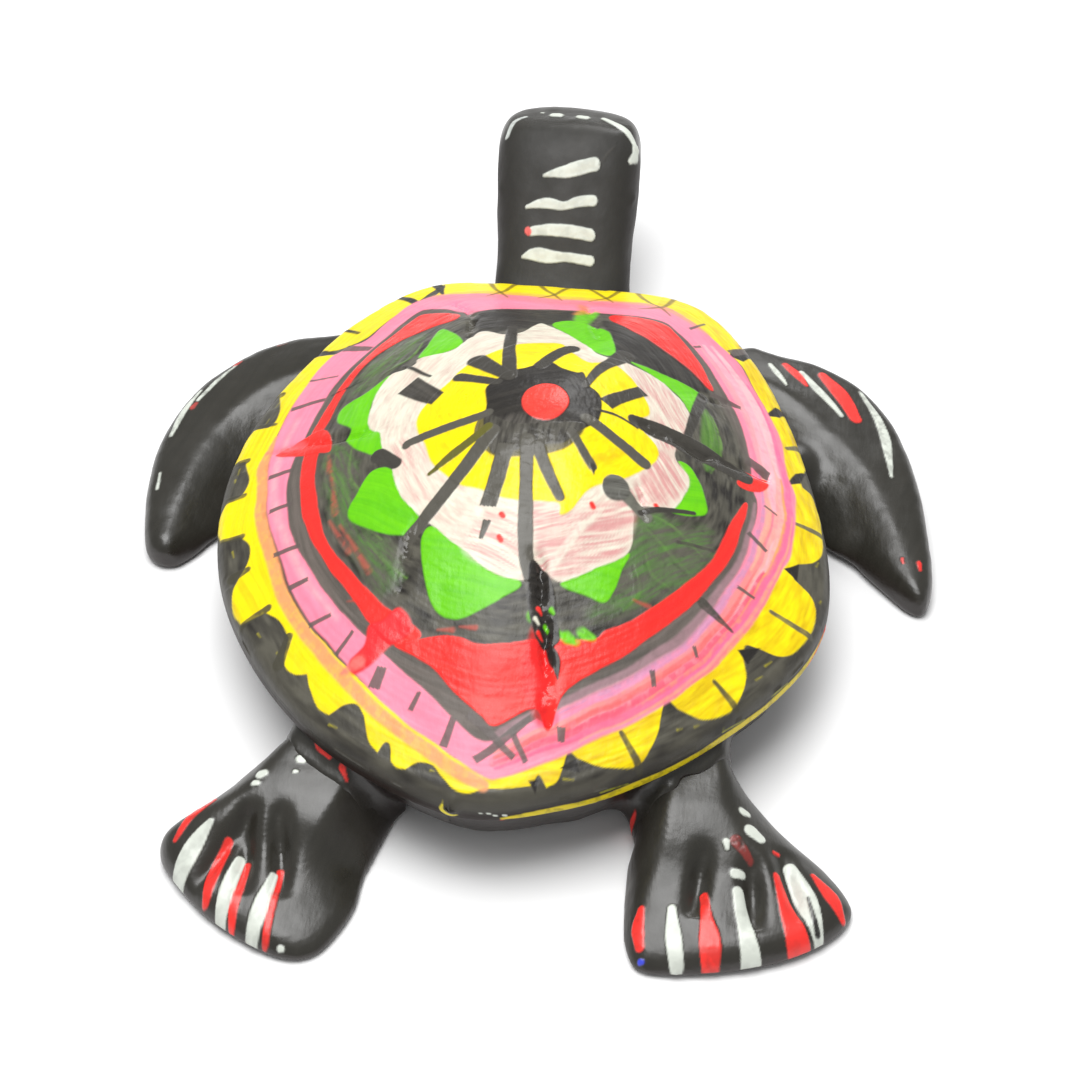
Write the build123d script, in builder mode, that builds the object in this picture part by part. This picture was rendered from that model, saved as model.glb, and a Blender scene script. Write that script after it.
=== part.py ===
from build123d import *
import os
from math import cos, radians, sin, sqrt

# Sea turtle figure carved in pieces of light wood, pegged, glued, filled with putty and painted.
# Millimetres. The origin is the middle of the flat belly face, +Z is up, +Y is towards the head
# and +X is the turtle's right-hand side.

# Shell
shell_half_width = 44.0
shell_front = 51.0
shell_rear = -51.0
rim_bottom = 12.5
rim_top = 17.0
rim_edge_radius = 1.2
dome_rise = 20.0
dome_roundness = 0.293
dome_steps = (1.0, 0.86, 0.72, 0.58, 0.44, 0.3, 0.18, 0.09)
hub = (2.6, 2.9)
groove_width = 1.6
groove_depth = 0.7

# Belly block
belly_sections = ((0.85, 0.0), (0.92, 5.5), (0.97, rim_bottom))    # share of the outline, height
belly_edge_radius = 1.5

# Joints between the pieces: a wooden peg through a layer of putty
peg_radius = 2.0
peg_clearance = 0.05
peg_length = 15.0
peg_in_body = 6.5
filler_thickness = 2.0
shell_dowel_length = 10.0
shell_dowel_places = {"front": (0.0, 22.0), "rear": (0.0, -22.0)}

# The shell's outline, from the tail along the right-hand side and back along the left-hand side.
# It was cut by hand, so the sides differ a little.
outline = (
    (-1.0, shell_rear),
    (9.0, -48.8),
    (18.0, -44.6),
    (27.0, -38.0),
    (36.5, -28.0),
    (42.6, -17.5),
    (shell_half_width, -6.0),
    (41.5, 9.0),
    (36.0, 27.0),
    (28.0, 42.3),
    (18.5, 50.0),
    (0.0, shell_front),
    (-19.5, 49.4),
    (-31.0, 39.3),
    (-38.8, 25.0),
    (-43.0, 12.0),
    (-shell_half_width, -2.0),
    (-41.0, -16.5),
    (-33.5, -30.0),
    (-23.0, -41.2),
    (-11.0, -48.2),
)

# Carved grooves between the scutes, each from its inner end to its outer end
scute_grooves = (
    ((4.0, -18.0), (8.0, -39.0)),
    ((-13.0, -15.5), (-18.5, -33.5)),
    ((-22.0, 3.0), (-37.0, 5.5)),
    ((-10.5, 24.0), (-14.0, 38.0)),
    ((8.0, 24.0), (5.5, 38.0)),
    ((16.0, 4.5), (34.0, 6.5)),
    ((17.0, -9.0), (22.0, -21.0)),
)

# Limb roots on the body: x, y, z of the middle, heading in degrees, half width and half height.
# The heading turns from +X towards +Y.
roots = {
    "neck": (0.0, 43.0, 6.6, 90.0, 10.8, 5.0),
    "front_left": (-30.8, 21.3, 6.6, 158.3, 12.5, 4.0),
    "front_right": (30.8, 21.3, 6.6, 21.7, 12.5, 4.0),
    "hind_left": (-19.5, -37.0, 6.2, 233.1, 8.6, 4.9),
    "hind_right": (23.5, -34.0, 6.2, 306.9, 8.6, 4.9),
}

# Sections along the neck and the legs after the root: x, y, z, heading, pitch, half width and
# half height
limb_sections = {
    "neck": (
        (-0.3, 52.0, 8.6, 91.0, 30.0, 11.2, 6.0),
        (-0.8, 60.0, 13.6, 92.0, 36.0, 11.4, 7.0),
        (-1.3, 68.0, 19.2, 93.0, 32.0, 11.6, 7.8),
        (-1.9, 75.0, 23.4, 94.0, 6.0, 11.6, 7.8),
        (-2.3, 80.5, 23.0, 94.0, -10.0, 9.6, 6.0),
        (-2.6, 83.8, 22.2, 94.0, -12.0, 6.0, 3.6),
    ),
    "hind_left": (
        (-23.5, -44.0, 5.4, 243.0, -10.0, 10.4, 4.6),
        (-28.4, -53.2, 2.6, 254.0, -12.0, 14.2, 3.2),
        (-29.6, -61.0, 1.3, 248.0, -4.0, 12.4, 2.0),
        (-30.7, -64.2, 0.9, 246.0, 0.0, 8.6, 1.2),
    ),
    "hind_right": (
        (27.8, -42.0, 5.4, 294.0, -10.0, 9.6, 4.6),
        (34.0, -50.4, 2.6, 282.0, -12.0, 14.6, 3.2),
        (34.2, -58.4, 1.3, 282.0, -4.0, 14.2, 2.0),
        (34.6, -61.6, 0.9, 282.0, 0.0, 10.8, 1.2),
    ),
}

# Outlines of the flippers, from the leading edge's root round the tip to the trailing edge's root
flipper_outlines = {
    "front_left": (
        (-26.0, 36.5),
        (-36.7, 40.2),
        (-46.0, 37.2),
        (-54.5, 29.0),
        (-58.7, 18.0),
        (-58.3, 6.0),
        (-55.0, -0.6),
        (-50.6, 2.0),
        (-45.6, 7.4),
        (-34.0, 8.0),
    ),
    "front_right": (
        (26.0, 37.5),
        (35.5, 43.2),
        (45.0, 40.8),
        (52.8, 32.0),
        (57.0, 19.0),
        (59.2, 6.5),
        (57.8, 2.6),
        (52.5, 6.4),
        (46.0, 12.0),
        (34.0, 8.6),
    ),
}

# The flat facets of each flipper as three points: leading, trailing and lower side. The first two
# share the ridge that runs from the flipper's root to its tip.
flipper_facets = {
    "front_left": (
        ((-37.0, 34.0, 12.3), (-55.4, 4.0, 5.2), (-60.0, 20.0, 4.6)),
        ((-37.0, 34.0, 12.3), (-55.4, 4.0, 5.2), (-44.0, 8.0, 7.4)),
        ((-30.0, 36.0, 2.4), (-58.0, 22.0, 1.6), (-54.0, 0.0, 0.0)),
    ),
    "front_right": (
        ((37.0, 36.0, 12.3), (57.2, 6.0, 4.6), (59.0, 24.0, 4.8)),
        ((37.0, 36.0, 12.3), (57.2, 6.0, 4.6), (44.0, 9.0, 7.4)),
        ((30.0, 36.0, 2.4), (57.0, 24.0, 1.6), (57.0, 3.0, 0.0)),
    ),
}

# Scooped grooves between the toes: inner end, outer end
toe_grooves = {
    "hind_left": (
        ((-31.0, -50.0), (-38.0, -61.0)),
        ((-28.0, -50.5), (-32.0, -64.5)),
        ((-25.0, -51.0), (-26.0, -67.0)),
    ),
    "hind_right": (
        ((32.5, -50.0), (28.0, -65.0)),
        ((35.5, -50.0), (36.0, -64.5)),
        ((38.0, -48.5), (43.5, -61.5)),
    ),
}
toe_groove_radius = 1.3
toe_groove_inner_height = 6.3
toe_groove_outer_height = 2.4


def dome_height(share):
    """Height of the shell's top where the outline is shrunk to this share about the hub."""
    full_drop = sqrt(1 + (1 / dome_roundness) ** 2) - 1
    drop = sqrt(1 + (share / dome_roundness) ** 2) - 1
    return rim_top + dome_rise * (1 - drop / full_drop)


def shell_section(share, height, centre):
    """The shell's outline at a height, shrunk to a share of its size about a centre."""
    points = [(centre[0] + share * (x - centre[0]), centre[1] + share * (y - centre[1])) for x, y in outline]
    with BuildSketch(Plane.XY.offset(height)) as section:
        with BuildLine():
            Spline(*points, periodic=True)
        make_face()
    return section.sketch


def direction(heading, pitch):
    """Unit vector of a heading and a pitch in degrees."""
    level = cos(radians(pitch))
    return (level * cos(radians(heading)), level * sin(radians(heading)), sin(radians(pitch)))


def cross_plane(x, y, z, heading, pitch=0.0):
    """Plane across a limb: its normal runs along the limb and its x axis is level."""
    level_x = (sin(radians(heading)), -cos(radians(heading)), 0.0)
    return Plane(origin=(x, y, z), x_dir=level_x, z_dir=direction(heading, pitch))


def root_plane(name, distance=0.0):
    """Flat face on the body where a limb is pegged, moved outwards by a distance."""
    return cross_plane(*roots[name][:4]).offset(distance)


def oval(plane, half_width, half_height):
    """Oval face on a plane."""
    with BuildSketch(plane) as section:
        Ellipse(half_width, half_height)
    return section.sketch


def round_bar(plane, radius, length):
    """Cylinder that starts on a plane and runs along its normal."""
    with BuildPart() as bar:
        with BuildSketch(plane):
            Circle(radius)
        extrude(amount=length)
    return bar.part


def peg_hole(name):
    """Space for a limb's peg, with its clearance."""
    start = root_plane(name, -peg_in_body - peg_clearance)
    return round_bar(start, peg_radius + peg_clearance, peg_length + 2 * peg_clearance)


def dowel_hole(place):
    """Space for a shell dowel, with its clearance."""
    start = Plane.XY.offset(rim_bottom - shell_dowel_length / 2 - peg_clearance)
    start = start.shift_origin(start.from_local_coords(place))
    return round_bar(start, peg_radius + peg_clearance, shell_dowel_length + 2 * peg_clearance)


def groove_cutter(inner, outer):
    """V-shaped tool that lies on the dome between two plan points."""
    ends = []
    for x, y in (inner, outer):
        share = sqrt((x - hub[0]) ** 2 + (y - hub[1]) ** 2) / outline_reach(x - hub[0], y - hub[1])
        ends.append(Vector(x, y, dome_height(share)))
    along = (ends[1] - ends[0]).normalized()
    across = along.cross(Vector(0, 0, 1)).normalized()
    with BuildPart() as cutter:
        with BuildSketch(Plane(origin=ends[0], x_dir=across, z_dir=along)):
            with BuildLine():
                Polyline(
                    (-groove_width, -groove_depth),
                    (0.0, groove_depth),
                    (groove_width, -groove_depth),
                    close=True,
                )
            make_face()
        extrude(amount=(ends[1] - ends[0]).length)
    return cutter.part


def outline_reach(dx, dy):
    """Distance from the hub to the shell's outline in a direction."""
    spread = sqrt(dx * dx + dy * dy)
    best = shell_half_width
    for (x1, y1), (x2, y2) in zip(outline, outline[1:] + outline[:1]):
        ex, ey = x2 - x1, y2 - y1
        cross = dx * ey - dy * ex
        if abs(cross) < 1e-9:
            continue
        reach = ((x1 - hub[0]) * ey - (y1 - hub[1]) * ex) / cross
        side = ((x1 - hub[0]) * dy - (y1 - hub[1]) * dx) / cross
        if reach > 0 and 0 <= side <= 1:
            best = reach * spread
    return best


def make_carapace():
    """Domed shell with a thick rim, scute grooves and blind holes for its dowels."""
    with BuildPart() as carapace:
        add(shell_section(1.0, rim_bottom, hub))
        extrude(amount=rim_top - rim_bottom)
        fillet(carapace.edges().group_by(Axis.Z)[0], rim_edge_radius)
        loft(sections=[shell_section(share, dome_height(share), hub) for share in dome_steps])
        for inner, outer in scute_grooves:
            add(groove_cutter(inner, outer), mode=Mode.SUBTRACT)
        for place in shell_dowel_places.values():
            add(dowel_hole(place), mode=Mode.SUBTRACT)
    return carapace.part


def make_belly_block():
    """Body under the shell, with a flat facet and a blind hole for each limb."""
    with BuildPart() as belly_block:
        loft(sections=[shell_section(share, height, (0.0, 0.0)) for share, height in belly_sections])
        fillet(belly_block.edges().group_by(Axis.Z)[0], belly_edge_radius)
        for name in roots:
            split(bisect_by=root_plane(name), keep=Keep.BOTTOM)
        for name in roots:
            add(peg_hole(name), mode=Mode.SUBTRACT)
        for place in shell_dowel_places.values():
            add(dowel_hole(place), mode=Mode.SUBTRACT)
    return belly_block.part


def make_limb(name):
    """Neck or leg lofted from its root to its tip, cut flat below and clear of the shell's rim."""
    ovals = [oval(root_plane(name, filler_thickness), *roots[name][4:])]
    for *place, half_width, half_height in limb_sections[name]:
        ovals.append(oval(cross_plane(*place), half_width, half_height))
    with BuildPart() as limb:
        loft(sections=ovals)
        split(bisect_by=Plane.XY, keep=Keep.TOP)
        for inner, outer in toe_grooves.get(name, ()):
            start = Vector(*inner, toe_groove_inner_height)
            end = Vector(*outer, toe_groove_outer_height)
            cutter = round_bar(Plane(origin=start, z_dir=end - start), toe_groove_radius, (end - start).length)
            add(cutter, mode=Mode.SUBTRACT)
        add(rim_space(), mode=Mode.SUBTRACT)
        add(peg_hole(name), mode=Mode.SUBTRACT)
    return limb.part


def facet_plane(first, second, third):
    """Plane through three points, facing up."""
    a, b, c = Vector(*first), Vector(*second), Vector(*third)
    normal = (b - a).cross(c - a)
    return Plane(origin=a, z_dir=normal if normal.Z > 0 else -normal)


def make_flipper(name):
    """Flipper cut from a board: its outline, two upper facets with a ridge, and a flat lower side."""
    points = flipper_outlines[name]
    leading, trailing, lower = flipper_facets[name]
    with BuildPart() as flipper:
        with BuildSketch():
            with BuildLine():
                Spline(*points)
                Line(points[-1], points[0])
            make_face()
        extrude(amount=rim_bottom)
        split(bisect_by=facet_plane(*leading), keep=Keep.BOTTOM)
        split(bisect_by=facet_plane(*trailing), keep=Keep.BOTTOM)
        split(bisect_by=facet_plane(*lower), keep=Keep.TOP)
        split(bisect_by=root_plane(name, filler_thickness), keep=Keep.TOP)
        add(rim_space(), mode=Mode.SUBTRACT)
        add(peg_hole(name), mode=Mode.SUBTRACT)
    return flipper.part


def rim_space():
    """Everything above the underside of the shell's rim, inside its outline."""
    with BuildPart() as space:
        add(shell_section(1.0, rim_bottom, hub))
        extrude(amount=dome_rise)
    return space.part


def make_filler(name):
    """Layer of putty between a limb's root and the body, with the peg's hole."""
    with BuildPart() as filler:
        with BuildSketch(root_plane(name)):
            Ellipse(*roots[name][4:])
        extrude(amount=filler_thickness)
        add(peg_hole(name), mode=Mode.SUBTRACT)
    return filler.part


def make_peg(name):
    """Round wooden peg between the body and a limb."""
    return round_bar(root_plane(name, -peg_in_body), peg_radius, peg_length)


def make_shell_dowel(place):
    """Round wooden dowel between the belly block and the carapace."""
    start = Plane.XY.offset(rim_bottom - shell_dowel_length / 2)
    return round_bar(start.shift_origin(start.from_local_coords(place)), peg_radius, shell_dowel_length)


def write_piece(piece, label):
    """Label a finished piece and write it to its own file."""
    piece.label = label
    export_step(piece, f"parts/{label}.step")


os.makedirs("parts", exist_ok=True)

limb_labels = {
    "neck": "head",
    "front_left": "front_left_flipper",
    "front_right": "front_right_flipper",
    "hind_left": "hind_left_leg",
    "hind_right": "hind_right_leg",
}

write_piece(make_carapace(), "carapace")
write_piece(make_belly_block(), "belly_block")
for name, label in limb_labels.items():
    make_piece = make_flipper if name in flipper_outlines else make_limb
    write_piece(make_piece(name), label)
    write_piece(make_filler(name), f"{name}_filler")
    write_piece(make_peg(name), f"{name}_peg")
for name, place in shell_dowel_places.items():
    write_piece(make_shell_dowel(place), f"shell_dowel_{name}")
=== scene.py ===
"""Painted sea turtle figure: the looks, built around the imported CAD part.

Shapes are worked out in millimetres, in the part's own frame, and turned into metres when a mesh
is made. The shell's paint is laid on layer by layer in the shell's plan, the way it was brushed.
"""
import math
import bpy
import numpy as np
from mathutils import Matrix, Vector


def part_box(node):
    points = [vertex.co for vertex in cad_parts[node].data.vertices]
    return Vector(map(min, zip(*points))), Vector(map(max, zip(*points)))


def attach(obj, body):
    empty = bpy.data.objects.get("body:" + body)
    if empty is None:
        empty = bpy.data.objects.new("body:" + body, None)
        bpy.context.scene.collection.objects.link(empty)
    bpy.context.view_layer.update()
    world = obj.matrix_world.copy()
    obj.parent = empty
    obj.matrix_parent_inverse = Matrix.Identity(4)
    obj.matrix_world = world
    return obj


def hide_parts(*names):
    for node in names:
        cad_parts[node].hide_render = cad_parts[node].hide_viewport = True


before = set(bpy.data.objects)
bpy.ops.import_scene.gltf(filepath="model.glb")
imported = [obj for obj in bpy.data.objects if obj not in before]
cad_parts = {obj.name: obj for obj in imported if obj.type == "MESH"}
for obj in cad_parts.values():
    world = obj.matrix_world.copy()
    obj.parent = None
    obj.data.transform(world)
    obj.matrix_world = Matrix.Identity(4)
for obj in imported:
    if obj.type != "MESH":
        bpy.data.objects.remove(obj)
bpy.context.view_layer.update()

MM = 0.001

# ---------------------------------------------------------------------------------------------
# Sizes read from the frame
# ---------------------------------------------------------------------------------------------
shell_low, shell_high = (np.array(corner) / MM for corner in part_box("carapace"))
rim_bottom = shell_low[2]
rim_top = rim_bottom + 4.5
dome_rise = 20.0
dome_roundness = 0.293
hub = np.array([2.6, 2.9])
shell_scale = (shell_high[0] - shell_low[0]) / 88.13

# The shell's outline, from the tail along the right-hand side and back along the left-hand side
outline = shell_scale * np.array([
    (-1.0, -51.0), (9.0, -48.8), (18.0, -44.6), (27.0, -38.0), (36.5, -28.0), (42.6, -17.5),
    (44.0, -6.0), (41.5, 9.0), (36.0, 27.0), (28.0, 42.3), (18.5, 50.0), (0.0, 51.0),
    (-19.5, 49.4), (-31.0, 39.3), (-38.8, 25.0), (-43.0, 12.0), (-44.0, -2.0), (-41.0, -16.5),
    (-33.5, -30.0), (-23.0, -41.2), (-11.0, -48.2),
])

# ---------------------------------------------------------------------------------------------
# Small helpers: noise, smooth steps, curves and signed distances in the plan
# ---------------------------------------------------------------------------------------------
def lattice(ix, iy, seed):
    """Repeatable random value from -1 to 1 at each whole-number point."""
    h = (ix * 374761393 + iy * 668265263 + seed * 974634777) & 0xFFFFFFFF
    h = ((h ^ (h >> 13)) * 1274126177) & 0xFFFFFFFF
    h = ((h ^ (h >> 16)) * 2246822519) & 0xFFFFFFFF
    return ((h ^ (h >> 15)) & 0xFFFF) / 32767.5 - 1.0


def noise(x, y, size, seed):
    """Smooth noise from -1 to 1 with features of about the given size."""
    u, v = x / size, y / size
    iu, iv = np.floor(u).astype(np.int64), np.floor(v).astype(np.int64)
    fu, fv = u - iu, v - iv
    fu, fv = fu * fu * (3 - 2 * fu), fv * fv * (3 - 2 * fv)
    near = lattice(iu, iv, seed) * (1 - fu) + lattice(iu + 1, iv, seed) * fu
    far = lattice(iu, iv + 1, seed) * (1 - fu) + lattice(iu + 1, iv + 1, seed) * fu
    return near * (1 - fv) + far * fv


def rough_noise(x, y, size, seed, octaves=3):
    """Several sizes of noise added up."""
    total = np.zeros_like(x)
    for octave in range(octaves):
        total += noise(x, y, size / 2 ** octave, seed + octave) / 2 ** octave
    return total / 1.6


def step(low, high, value):
    """Smooth step from 0 at low to 1 at high."""
    t = np.clip((value - low) / (high - low), 0, 1)
    return t * t * (3 - 2 * t)


def closed_curve(points, per_span=8):
    """Smooth closed curve through points."""
    p = np.asarray(points, float)
    before, after, beyond = np.roll(p, 1, 0), np.roll(p, -1, 0), np.roll(p, -2, 0)
    t = (np.arange(per_span) / per_span)[None, :, None]
    b, c, d, e = (q[:, None, :] for q in (before, p, after, beyond))
    curve = 0.5 * (2 * c + (d - b) * t + (2 * b - 5 * c + 4 * d - e) * t ** 2
                   + (3 * c - b - 3 * d + e) * t ** 3)
    return curve.reshape(-1, p.shape[1])


def open_curve(points, per_span=8):
    """Smooth open curve through points, with any further columns carried along."""
    p = np.asarray(points, float)
    if len(p) == 2:
        return p
    padded = np.vstack([2 * p[0] - p[1], p, 2 * p[-1] - p[-2]])
    t = (np.arange(per_span) / per_span)[:, None]
    spans = []
    for b, c, d, e in zip(padded, padded[1:], padded[2:], padded[3:]):
        spans.append(0.5 * (2 * c + (d - b) * t + (2 * b - 5 * c + 4 * d - e) * t ** 2
                            + (3 * c - b - 3 * d + e) * t ** 3))
    return np.vstack(spans + [p[-1:]])


def segment_distance(x, y, a, b):
    """Distance to a straight segment, and how far along it the nearest point lies, 0 to 1."""
    dx, dy = b[0] - a[0], b[1] - a[1]
    t = np.clip(((x - a[0]) * dx + (y - a[1]) * dy) / max(dx * dx + dy * dy, 1e-9), 0, 1)
    return np.hypot(x - a[0] - t * dx, y - a[1] - t * dy), t


def patch_distance(x, y, curve):
    """Signed distance to a closed curve: negative inside."""
    distance = np.full(x.shape, 1e9)
    inside = np.zeros(x.shape, bool)
    for a, b in zip(curve, np.roll(curve, -1, 0)):
        distance = np.minimum(distance, segment_distance(x, y, a, b)[0])
        crosses = (a[1] > y) != (b[1] > y)
        rise = b[1] - a[1] if abs(b[1] - a[1]) > 1e-12 else 1e-12
        inside ^= crosses & (x < a[0] + (y - a[1]) * (b[0] - a[0]) / rise)
    return np.where(inside, -distance, distance)


def stroke_distance(x, y, curve):
    """Signed distance to a brush stroke given as x, y and half width along it."""
    distance = np.full(x.shape, 1e9)
    for a, b in zip(curve, curve[1:]):
        d, t = segment_distance(x, y, a, b)
        distance = np.minimum(distance, d - (a[2] + (b[2] - a[2]) * t))
    return distance


# ---------------------------------------------------------------------------------------------
# The shell's shape
# ---------------------------------------------------------------------------------------------
rim_curve = closed_curve(outline, 40)
rim_bearing = np.arctan2(rim_curve[:, 1] - hub[1], rim_curve[:, 0] - hub[0])
rim_order = np.argsort(rim_bearing)
rim_bearing = rim_bearing[rim_order]
rim_reach = np.hypot(*(rim_curve - hub).T)[rim_order]


def reach(bearing):
    """Distance from the hub to the shell's outline at a bearing."""
    return np.interp(bearing, rim_bearing, rim_reach, period=2 * math.pi)


def dome_height(share):
    """Height of the dome at a share of the way from the hub to the outline."""
    full_drop = math.sqrt(1 + dome_roundness ** -2) - 1
    drop = np.sqrt(1 + (share / dome_roundness) ** 2) - 1
    return rim_top + dome_rise * (1 - drop / full_drop)


def smooth_min(a, b, blend):
    """Union of two solids' distances, with a fillet of about the blend's size."""
    h = np.clip(0.5 + 0.5 * (b - a) / blend, 0, 1)
    return b + (a - b) * h - blend * h * (1 - h)


def smooth_max(a, b, blend):
    """Intersection of two solids' distances, with a rounded edge."""
    return -smooth_min(-a, -b, blend)


def linear(rgb):
    """Screen colour to the linear colour that shaders work in."""
    c = np.asarray(rgb, float)
    return np.where(c <= 0.04045, c / 12.92, ((c + 0.055) / 1.055) ** 2.4)


# ---------------------------------------------------------------------------------------------
# Paint colours, as they look on screen
# ---------------------------------------------------------------------------------------------
BLACK = (0.150, 0.140, 0.130)
GREY_BLACK = (0.29, 0.275, 0.25)
STROKE = (0.25, 0.24, 0.22)
OUTLINE = (0.42, 0.385, 0.36)
YELLOW = (0.985, 0.90, 0.0)
OCHRE = (0.84, 0.69, 0.02)
RIM_GREY = (0.35, 0.34, 0.30)
# painted shade: brown-black for black surfaces that face sideways or down
SHADE_BROWN_BLACK = (0.150, 0.110, 0.092)
FIELD = (0.37, 0.36, 0.32)
PINK = (0.985, 0.555, 0.655)
CORAL = (0.985, 0.47, 0.44)
ORANGE = (0.985, 0.66, 0.33)
LILAC = (0.80, 0.55, 0.68)
RED = (0.975, 0.20, 0.17)
DEEP_RED = (0.90, 0.14, 0.16)
GREEN = (0.42, 0.79, 0.02)
CREAM = (0.885, 0.875, 0.80)
# painted glare: lighter grey for the rays below the hub
GLARE_STROKE = (0.33, 0.32, 0.29)
OLIVE = (0.38, 0.37, 0.16)
PALE_GREY = (0.42, 0.42, 0.38)
WHITE = (0.84, 0.86, 0.82)


class Coat:
    """Paint laid over the points of a surface, layer by layer."""

    def __init__(self, x, y, along, ground=BLACK, fade=None):
        self.x, self.y = x, y
        self.along = along          # brush position along and across the shell's bands, mm
        self.fade = 1.0 if fade is None else fade
        # hand-painted edges wander a little
        self.wx = x + 0.16 * noise(x, y, 3.4, 11) + 0.025 * noise(x, y, 0.6, 14)
        self.wy = y + 0.16 * noise(x, y, 3.4, 21) + 0.025 * noise(x, y, 0.6, 24)
        self.colour = np.tile(linear(ground), (len(x), 1))
        self.thick = np.zeros(len(x))
        self.gloss = np.full(len(x), 0.5)

    def near(self, curve, margin):
        """Points near enough to a curve for its paint to matter."""
        low, high = curve[:, :2].min(0) - margin, curve[:, :2].max(0) + margin
        return np.nonzero((self.wx > low[0]) & (self.wx < high[0])
                          & (self.wy > low[1]) & (self.wy < high[1]))[0]

    def put(self, index, cover, colour, thick, gloss):
        """Mix paint into the points by how much it covers each."""
        cover = cover * (self.fade if np.isscalar(self.fade) else self.fade[index])
        c = linear(colour) if np.ndim(colour) == 1 else colour
        self.colour[index] += (c - self.colour[index]) * cover[:, None]
        self.thick[index] += thick * cover
        if gloss is not None:
            self.gloss[index] += (gloss - self.gloss[index]) * cover

    def shade(self, index, colour, second, mix, seed, angle=None, length=7.0, width=0.32):
        """A colour with bristle streaks of a second colour, along an angle or along the band."""
        if angle is None:
            u, v = self.along[0][index], self.along[1][index]
        else:
            c, s = math.cos(math.radians(angle)), math.sin(math.radians(angle))
            x, y = self.x[index], self.y[index]
            u, v = x * c + y * s, y * c - x * s
        v = v + 0.5 * noise(u, v, 6.0, seed + 5)
        streak = (noise(u / length, v / width, 1.0, seed)
                  + 0.6 * noise(u / length * 1.7, v / width * 2.3, 1.0, seed + 1)
                  + 0.7 * noise(u / length * 0.6, v / width * 0.33, 1.0, seed + 2)) / 1.7
        t = np.clip(mix + 0.75 * streak * min(1.0, 2.2 * mix + 0.05), 0, 1)[:, None]
        return linear(colour) * (1 - t) + linear(second) * t

    def patch(self, points, colour, second=None, mix=0.0, angle=None, edge=0.11, thick=0.045,
              gloss=0.42, opacity=1.0, seed=1, length=7.0, width=0.32, ragged=0.0, smooth=True):
        """A closed, filled area."""
        curve = closed_curve(points) if smooth else np.asarray(points, float)
        index = self.near(curve, 1.0 + 3 * ragged)
        if not len(index):
            return
        wx, wy = self.wx[index], self.wy[index]
        distance = patch_distance(wx, wy, curve)
        if ragged:
            distance = distance + ragged * rough_noise(wx, wy, 1.3, seed + 40)
        cover = opacity * (1 - step(-edge, edge, distance))
        if ragged:
            cover *= 1 - 0.5 * ragged * step(0.1, 0.9, rough_noise(wx, wy, 0.7, seed + 50))
        tone = self.shade(index, colour, colour if second is None else second, mix, seed,
                          angle, length, width)
        self.put(index, cover, tone, thick, gloss)

    def stroke(self, points, width, colour, edge=0.11, thick=0.04, gloss=0.42, opacity=1.0,
               dry=0.0, seed=1, blunt=False):
        """A brush stroke of one width, or of widths spread along it. Blunt ends are cut square."""
        given = np.atleast_1d(width)
        widths = np.interp(np.linspace(0, 1, len(points)), np.linspace(0, 1, len(given)), given)
        curve = open_curve([(*p, w / 2) for p, w in zip(points, widths)], 6)
        index = self.near(curve, 0.8 + max(widths))
        if not len(index):
            return
        wx, wy = self.wx[index], self.wy[index]
        distance = stroke_distance(wx, wy, curve)
        if blunt:
            for end, before in ((curve[0], curve[1]), (curve[-1], curve[-2])):
                dx, dy = end[:2] - before[:2]
                past = ((wx - end[0]) * dx + (wy - end[1]) * dy) / math.hypot(dx, dy)
                distance = np.where(past > 0, np.maximum(distance, past), distance)
        cover = opacity * (1 - step(-edge, edge, distance))
        if dry:
            cover *= 1 - dry * step(-0.2, 0.5, rough_noise(wx, wy, 0.9, seed + 60))
        self.put(index, cover, colour, thick, gloss)


# ---------------------------------------------------------------------------------------------
# The shell's paint, in the shell's plan, in the order that it was brushed on
# ---------------------------------------------------------------------------------------------
def lobes(*runs):
    """One line through smooth runs that meet at corners."""
    return [tuple(p) for run in runs for p in open_curve(run, 5)[:-1]] + [tuple(runs[-1][-1])]


def mirror_ring(points, other):
    """A band's shape from its outer line and the line that bounds it inside."""
    return list(points) + list(other)[::-1]


def paint_shell(coat):
    """All of the shell's paint, outermost band first."""
    paint_yellow_border(coat)
    paint_pink_band(coat)
    paint_red_band(coat)
    paint_green_and_cream(coat)
    paint_disc(coat)
    paint_spokes(coat)
    paint_rim_side(coat)


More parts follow.
